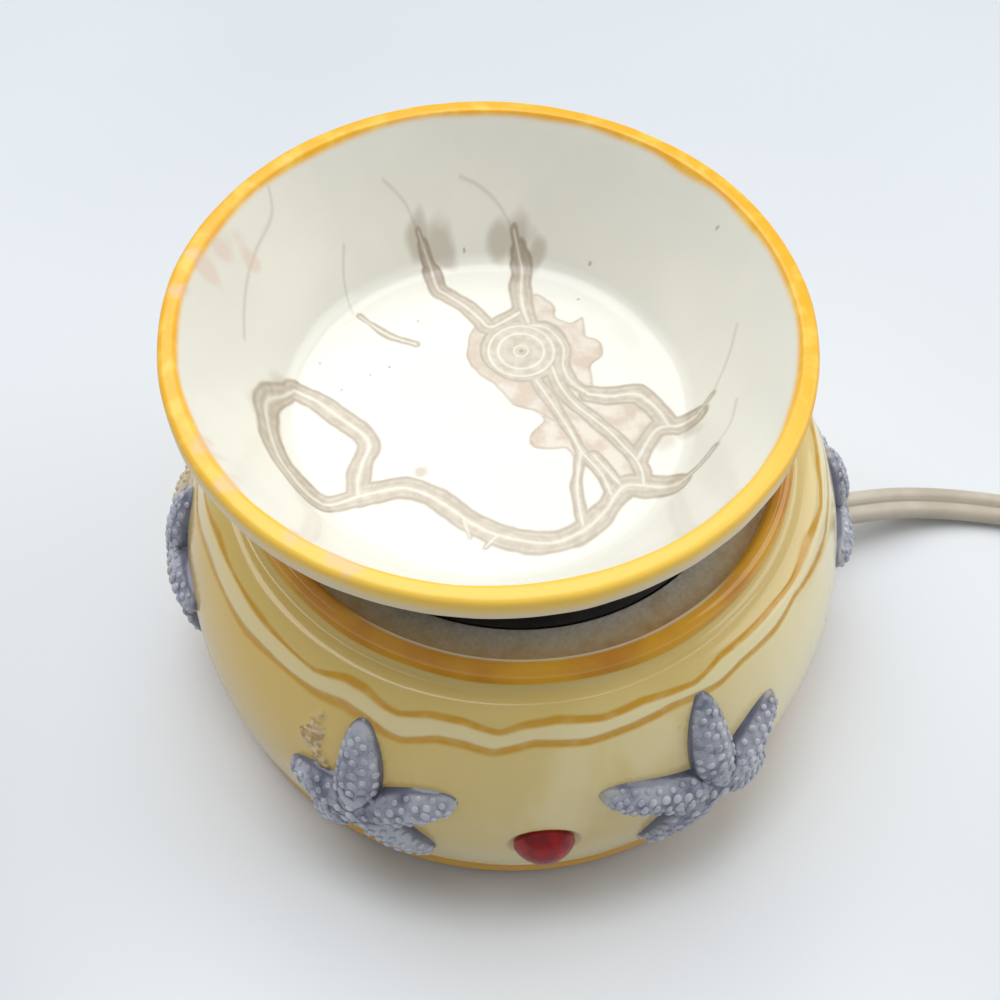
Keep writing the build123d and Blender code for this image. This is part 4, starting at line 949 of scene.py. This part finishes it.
def stain_masks(flat):
    """Stains of the dish's inside by name, from 0 to 1 for each point."""
    x, y = flat[..., 0], flat[..., 1]
    jitter = 0.26 * wobble(flat, (7, 7, 0), 31) + 0.08 * wobble(flat, (20, 20, 0), 32)
    depth = np.full(x.shape, -50.0)
    core = np.full(x.shape, 50.0)
    for half, points in STAINS:
        away = to_path(x, y, smooth_path(points))
        depth = np.maximum(depth, half - away)
        core = np.minimum(core, away * (1.75 / half) ** 0.35)
    pool = np.full(x.shape, -50.0)
    for points in STAIN_POOLS:
        polygon = smooth_path(points + points[:1], 0.8)
        away = to_path(x, y, polygon)
        pool = np.maximum(pool, np.where(in_polygon(x, y, polygon), away, -away))
    # The round stain with its rings
    to_target = np.hypot(x - TARGET_AT[0], y - TARGET_AT[1])
    depth = np.maximum(depth, TARGET_R - to_target) + jitter
    pool = pool + 1.6 * jitter
    for ring, thinner in TARGET_RINGS:
        core = np.minimum(core, np.abs(to_target - ring) * thinner)
    stain = smooth_step(-0.25, 0.3, depth)
    pools = smooth_step(-0.2, 0.25, pool) * (1 - stain)
    edge = np.exp(-((depth - 0.3) / 0.32) ** 2) + 0.45 * np.exp(-((depth - 1.3) / 0.3) ** 2)
    edge = np.maximum(edge, 0.8 * np.exp(-((pool - 0.25) / 0.28) ** 2) * pools)
    hairs = [np.exp(-(to_path(x, y, smooth_path(points)) / 0.22) ** 2) for points in HAIRLINES]
    smudge = spots(x, y, SMUDGES, 4 * jitter, 0.3)
    return {"stain": stain, "pools": pools, "edge": edge, "hair": np.max(hairs, axis=0), "smudge": smudge,
            "bright": np.exp(-(core / 0.26) ** 2) * smooth_step(-0.2, 0.4, depth),
            "burnt": np.clip(stain + smudge, 0, 1) * smooth_step(27, 34, y),
            "dot": spots(x, y, [(*place, 0.34, 1) for place in DOTS], 0, 0.2 / 0.34),
            "centre": smooth_step(0.55, 0.35, to_target)}


def dish_inside():
    """Section of the dish's inside from the middle to the rim."""
    rim_in = (RIM_R - RIM_W, DISH_TOP_Z)
    return rounded([(0, DISH_FLOOR_Z), (DISH_FLOOR_R, DISH_FLOOR_Z), rim_in], [DISH_CORNER_R], 20)


def dish_outside():
    """Section of the rest of the dish, from the rim round to the middle of the underside."""
    sin, cos = math.sin(DISH_SLOPE), math.cos(DISH_SLOPE)
    under_z = DISH_FLOOR_Z - DISH_WALL
    knee = (DISH_FLOOR_R + sin * DISH_WALL, DISH_FLOOR_Z - cos * DISH_WALL)
    knee_r = knee[0] + (under_z - knee[1]) / math.tan(DISH_SLOPE)
    reach = (DISH_TOP_Z - RIM_FACE_H - RIM_UNDER_H - knee[1]) / sin
    low = (knee[0] + cos * reach, knee[1] + sin * reach)
    rim = arc(RIM_R - RIM_EDGE_R, DISH_TOP_Z - RIM_EDGE_R, RIM_EDGE_R, 90, 0, 10)
    wall = rounded([(RIM_R, DISH_TOP_Z - RIM_EDGE_R - 0.4), (RIM_R, DISH_TOP_Z - RIM_FACE_H), low,
                    (knee_r, under_z), (DISH_FOOT_R, under_z)], [0.9, DISH_WALL, DISH_WALL], 10)
    foot_in = DISH_FOOT_R - DISH_FOOT_W
    foot = [(DISH_FOOT_R, PLATE_TOP_Z + 0.5), (DISH_FOOT_R - 0.5, PLATE_TOP_Z), (foot_in + 0.5, PLATE_TOP_Z),
            (foot_in, PLATE_TOP_Z + 0.5), (foot_in, PLATE_TOP_Z + DISH_FOOT_H),
            (1.0, PLATE_TOP_Z + DISH_FOOT_H)]
    return rim + wall + foot


def make_dish():
    inside = respaced(dish_inside(), 0.3)[1:]
    outside = respaced([inside[-1]] + dish_outside(), 0.6)[1:]
    profile = inside + outside
    angle, radius, z = turned(profile, DISH_COLUMNS)
    flat = around(angle, radius, z)
    inner = np.arange(len(profile))[:, None] < len(inside)
    found = {name: value * inner for name, value in stain_masks(flat).items()}
    # Amber rim: up to its inner edge, and some way down the outside, fading
    wave = wobble(flat, (3, 3, 0), 51)
    edge_r = RIM_R - RIM_W
    found["rim"] = np.where(inner, smooth_step(edge_r - 0.9, edge_r - 0.1, radius + 0.25 * wave),
                            smooth_step(DISH_TOP_Z - 3.6, DISH_TOP_Z - 1.4, z + 0.3 * wave))
    found["under"] = ~inner * smooth_step(DISH_TOP_Z - 7.0, DISH_TOP_Z - 5.0, z + 0.6 * wave)
    found["pink"] = spots(flat[..., 0], flat[..., 1], [(*place, 1) for place in PINK_SPOTS],
                          1.3 * wobble(flat, (12, 12, 0), 61), 0.3)
    # Shape: gentle unevenness, but none where the foot stands on the plate
    swell = 0.10 * wobble(flat, (1.5, 1.5, 1), 71) + 0.04 * wobble(flat, (6, 6, 2), 72)
    keep = smooth_step(PLATE_TOP_Z + 0.8, PLATE_TOP_Z + 3.0, z) + (inner & (z < DISH_FLOOR_Z + 1)) * 0.4
    shift = swell * keep * np.where(inner, -1, 1) * (radius > 3)
    rings = around(angle, radius + shift, z + swell * 0.5 * inner).reshape(-1, 3)
    points = np.concatenate([[(0, 0, DISH_FLOOR_Z)], rings, [(0, 0, PLATE_TOP_Z + DISH_FOOT_H)]])
    faces = [face[::-1] for face in closed_faces(len(profile), DISH_COLUMNS)]
    piece = new_mesh("melt_dish", points + DISH_SHIFT, faces)
    masks(piece, **{name: np.pad(np.ravel(value), 1) for name, value in found.items()})
    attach(piece, "dish")
    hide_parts("dish")
    return piece


def dish_paint():
    paint = Paint("dish_glaze", roughness=0.3)
    tone = paint.mix(paint.patches(0.04, 3, 0.35, 0.7), DISH_WHITE, DISH_CREAM)
    brown = paint.mix(paint.patches(0.5, 3, 0.35, 0.65), STAIN_LIGHT, STAIN_MID)
    for name, share, colour in (
            ("smudge", 0.9, STAIN_MID), ("pools", paint.patches(0.22, 3, 0.4, 0.62, 0.5, 1), STAIN_POOL),
            ("stain", 0.92, brown), ("edge", 0.6, STAIN_DARK), ("burnt", 0.4, STAIN_BURNT),
            ("bright", 0.65, DISH_CREAM), ("hair", 0.3, STAIN_DARK), ("centre", 0.8, STAIN_DARK),
            ("under", 0.85, RIM_UNDER)):
        tone = paint.wash(tone, name, share, colour)
    # The rim is paler in streaks, and paler still towards the front, which is painted light
    painted_front_light = paint.ramp(paint.axes()[1], 0, -48, 0, 0.7)
    pale = paint.calc("MAXIMUM", painted_front_light, paint.patches(0.25, 3, 0.42, 0.7, 0, 0.6))
    rim = paint.value("rim")
    tone = paint.mix(rim, tone, paint.mix(pale, RIM_AMBER, RIM_PALE))
    tone = paint.wash(tone, "pink", 0.42, PINK)
    paint.put("Base Color", paint.wash(tone, "dot", 0.5, DOT_BROWN))
    paint.put("Coat Weight", paint.times(paint.calc("SUBTRACT", 1, rim), 0.35))
    paint.bump(paint.noise(0.35, 2), 0.08, 0.6)
    return paint


glaze_paint().on(make_body())
star_finish = star_paint()
for number, (star_azimuth, star_arms) in enumerate(STARS.items()):
    star_finish.on(make_star(number + 1, star_azimuth, star_arms))
dish_paint().on(make_dish())


# Finishes of the CAD nodes and the cord

def cast_black():
    paint = Paint("cast_black", roughness=0.55)
    paint.put("Base Color", paint.mix(paint.patches(0.25, 4, 0.4, 0.7), (0.008, 0.008, 0.009),
                                      (0.022, 0.021, 0.020)))
    paint.bump(paint.noise(3.0), 0.4, 0.12)
    return paint


def red_lens():
    paint = Paint("red_lens", roughness=0.12, coat=0.2, coat_roughness=0.02, ior=1.4)
    paint.put("Transmission Weight", 0.25)
    paint.put("Base Color", paint.mix(paint.patches(0.25, 2, 0.3, 0.7), srgb(196, 20, 24), srgb(138, 8, 12)))
    paint.bump(paint.cells(0.55), 0.10, 0.4)
    return paint


def moulded(name, low, high, roughness=0.5, grain=2.5, depth=0.1):
    paint = Paint(name, roughness=roughness)
    paint.put("Base Color", paint.mix(paint.patches(0.2, 3, 0.3, 0.7), low, high))
    paint.bump(paint.noise(grain), 0.35, depth)
    return paint


def brushed(name, low, high, roughness=0.35):
    paint = Paint(name, roughness=roughness, metallic=1.0)
    paint.put("Base Color", paint.mix(paint.patches(0.3, 4, 0.3, 0.7), low, high))
    paint.bump(paint.noise(1.2, 4, at=paint.scaled(1, 1, 8)), 0.3, 0.08)
    return paint


def cord_paint():
    paint = Paint("cord_sleeve", roughness=0.42)
    tone = paint.mix(paint.patches(0.08, 4, 0.35, 0.7), CORD_DARK, CORD_PALE)
    groove = paint.ramp(paint.calc("ABSOLUTE", paint.value("across")), 0.0, 0.9)
    paint.put("Base Color", paint.mix(groove, CORD_GROOVE, tone))
    paint.bump(paint.noise(1.5), 0.25, 0.1)
    return paint


def dress(paint, *names):
    """The paint in each slot of the CAD nodes of those names."""
    for name in names:
        for slot in nodes[name].material_slots:
            slot.material = paint.material


cord_finish = cord_paint()
cord_finish.on(lead_cord)
cord_finish.on(main_cord)
dress(cast_black(), "hot_plate")
dress(moulded("gasket", (0.60, 0.57, 0.50), (0.72, 0.69, 0.62), 0.9, 1.2, 0.3), "plate_gasket")
dress(moulded("element", (0.25, 0.22, 0.18), (0.36, 0.32, 0.27), 0.7), "heating_element")
dress(moulded("fibre", (0.62, 0.60, 0.55), (0.78, 0.76, 0.71), 0.95, 0.8, 0.5), "insulation_disc")
dress(brushed("zinc_steel", (0.42, 0.42, 0.43), (0.56, 0.56, 0.57)), "heat_shield", "bridge_bracket",
      "spring_washer", "stud_nut", "support_column", "fuse_clip", "fuse_rivets", "base_screw",
      "lens_push_nut", "switch_screws")
dress(moulded("fuse", (0.55, 0.50, 0.40), (0.66, 0.61, 0.50), 0.4), "thermal_fuse")
dress(moulded("base_board", (0.030, 0.029, 0.027), (0.060, 0.058, 0.054), 0.7, 0.9, 0.2), "base_plate")
dress(moulded("foot_rubber", (0.020, 0.020, 0.020), (0.035, 0.034, 0.033), 0.8), "rubber_feet")
dress(red_lens(), "indicator_lens")
dress(moulded("lamp_glass", (0.62, 0.30, 0.16), (0.74, 0.42, 0.26), 0.1), "neon_lamp")
dress(moulded("resistor", (0.46, 0.33, 0.20), (0.58, 0.44, 0.28)), "lamp_resistor")
dress(moulded("splice", (0.10, 0.16, 0.50), (0.16, 0.22, 0.60), 0.4), "butt_splices")
dress(moulded("wire_sleeve", (0.55, 0.05, 0.03), (0.65, 0.08, 0.05), 0.45), "supply_wires", "fuse_wires",
      "return_wire", "lamp_wires")
dress(moulded("ivory_plastic", srgb(205, 196, 181), srgb(217, 209, 196)), "strain_relief", "switch_base",
      "switch_cover", "plug_body")
dress(moulded("wheel", srgb(120, 112, 100), srgb(138, 130, 117)), "switch_wheel")
dress(brushed("brass", (0.70, 0.52, 0.24), (0.82, 0.64, 0.34), 0.3), "plug_blades", "switch_contacts")


# Stage

def stage_floor():
    bpy.ops.mesh.primitive_plane_add(size=6)
    floor = bpy.context.object
    floor.name = "floor"
    paint = Paint("floor", roughness=0.6)
    x, y, _ = paint.axes()
    aside = paint.calc("ABSOLUTE", x)
    # Painted shade: the floor is darker towards the back, the sides and the front corners, as the light falls
    # off
    seen = paint.mix(paint.ramp(y, 240, -120), FLOOR_FAR, FLOOR_NEAR)
    seen = paint.mix(paint.ramp(aside, 50, 160, 0, 0.45), seen, FLOOR_SIDE)
    corner = paint.times(paint.ramp(aside, 50, 130), paint.ramp(y, 0, -100, 0, 0.85))
    seen = paint.mix(corner, seen, FLOOR_CORNER)
    seen = paint.mix(paint.patches(0.006, 2, 0.3, 0.7, 0, 0.12), seen, FLOOR_CLOUD)
    # The foot's own shadow at the front is deeper than these soft lamps make it
    reach = paint.calc("SQRT", paint.calc("ADD", paint.times(x, x), paint.times(y, y)))
    under = paint.times(paint.ramp(reach, 75, 63), paint.ramp(y, -30, -65, 0, 0.65))
    seen = paint.mix(under, seen, FLOOR_SHADOW)
    # Seen straight on the floor is pale, while it throws less light back up at the object
    direct = paint.node("ShaderNodeLightPath").outputs["Is Camera Ray"]
    paint.put("Base Color", paint.mix(direct, FLOOR_BOUNCE, seen))
    paint.on(floor)


def lamp(name, power, size, place, colour):
    """A soft round lamp, in metres and watts, that shines at the middle of the object."""
    data = bpy.data.lights.new(name, "AREA")
    data.energy = power
    data.color = colour
    data.shape = "DISK"
    data.size = size
    made = bpy.data.objects.new(name, data)
    made.location = place
    made.rotation_euler = (Vector((0, 0, 0.04)) - Vector(place)).to_track_quat("-Z", "Y").to_euler()
    scene.collection.objects.link(made)


def sky(colour, strength):
    world = bpy.data.worlds.new("world")
    scene.world = world
    world.use_nodes = True
    background = world.node_tree.nodes["Background"]
    background.inputs["Color"].default_value = (*colour, 1)
    background.inputs["Strength"].default_value = strength


stage_floor()
lamp("window", 13.4, 1.4, (-0.2, 0.45, 1.26), (0.97, 0.98, 1.0))
lamp("side", 6, 1.2, (1.1, 0.15, 0.85), (1.0, 0.98, 0.95))
sky((0.93, 0.96, 1.0), 0.43)
scene.view_settings.view_transform = "Standard"
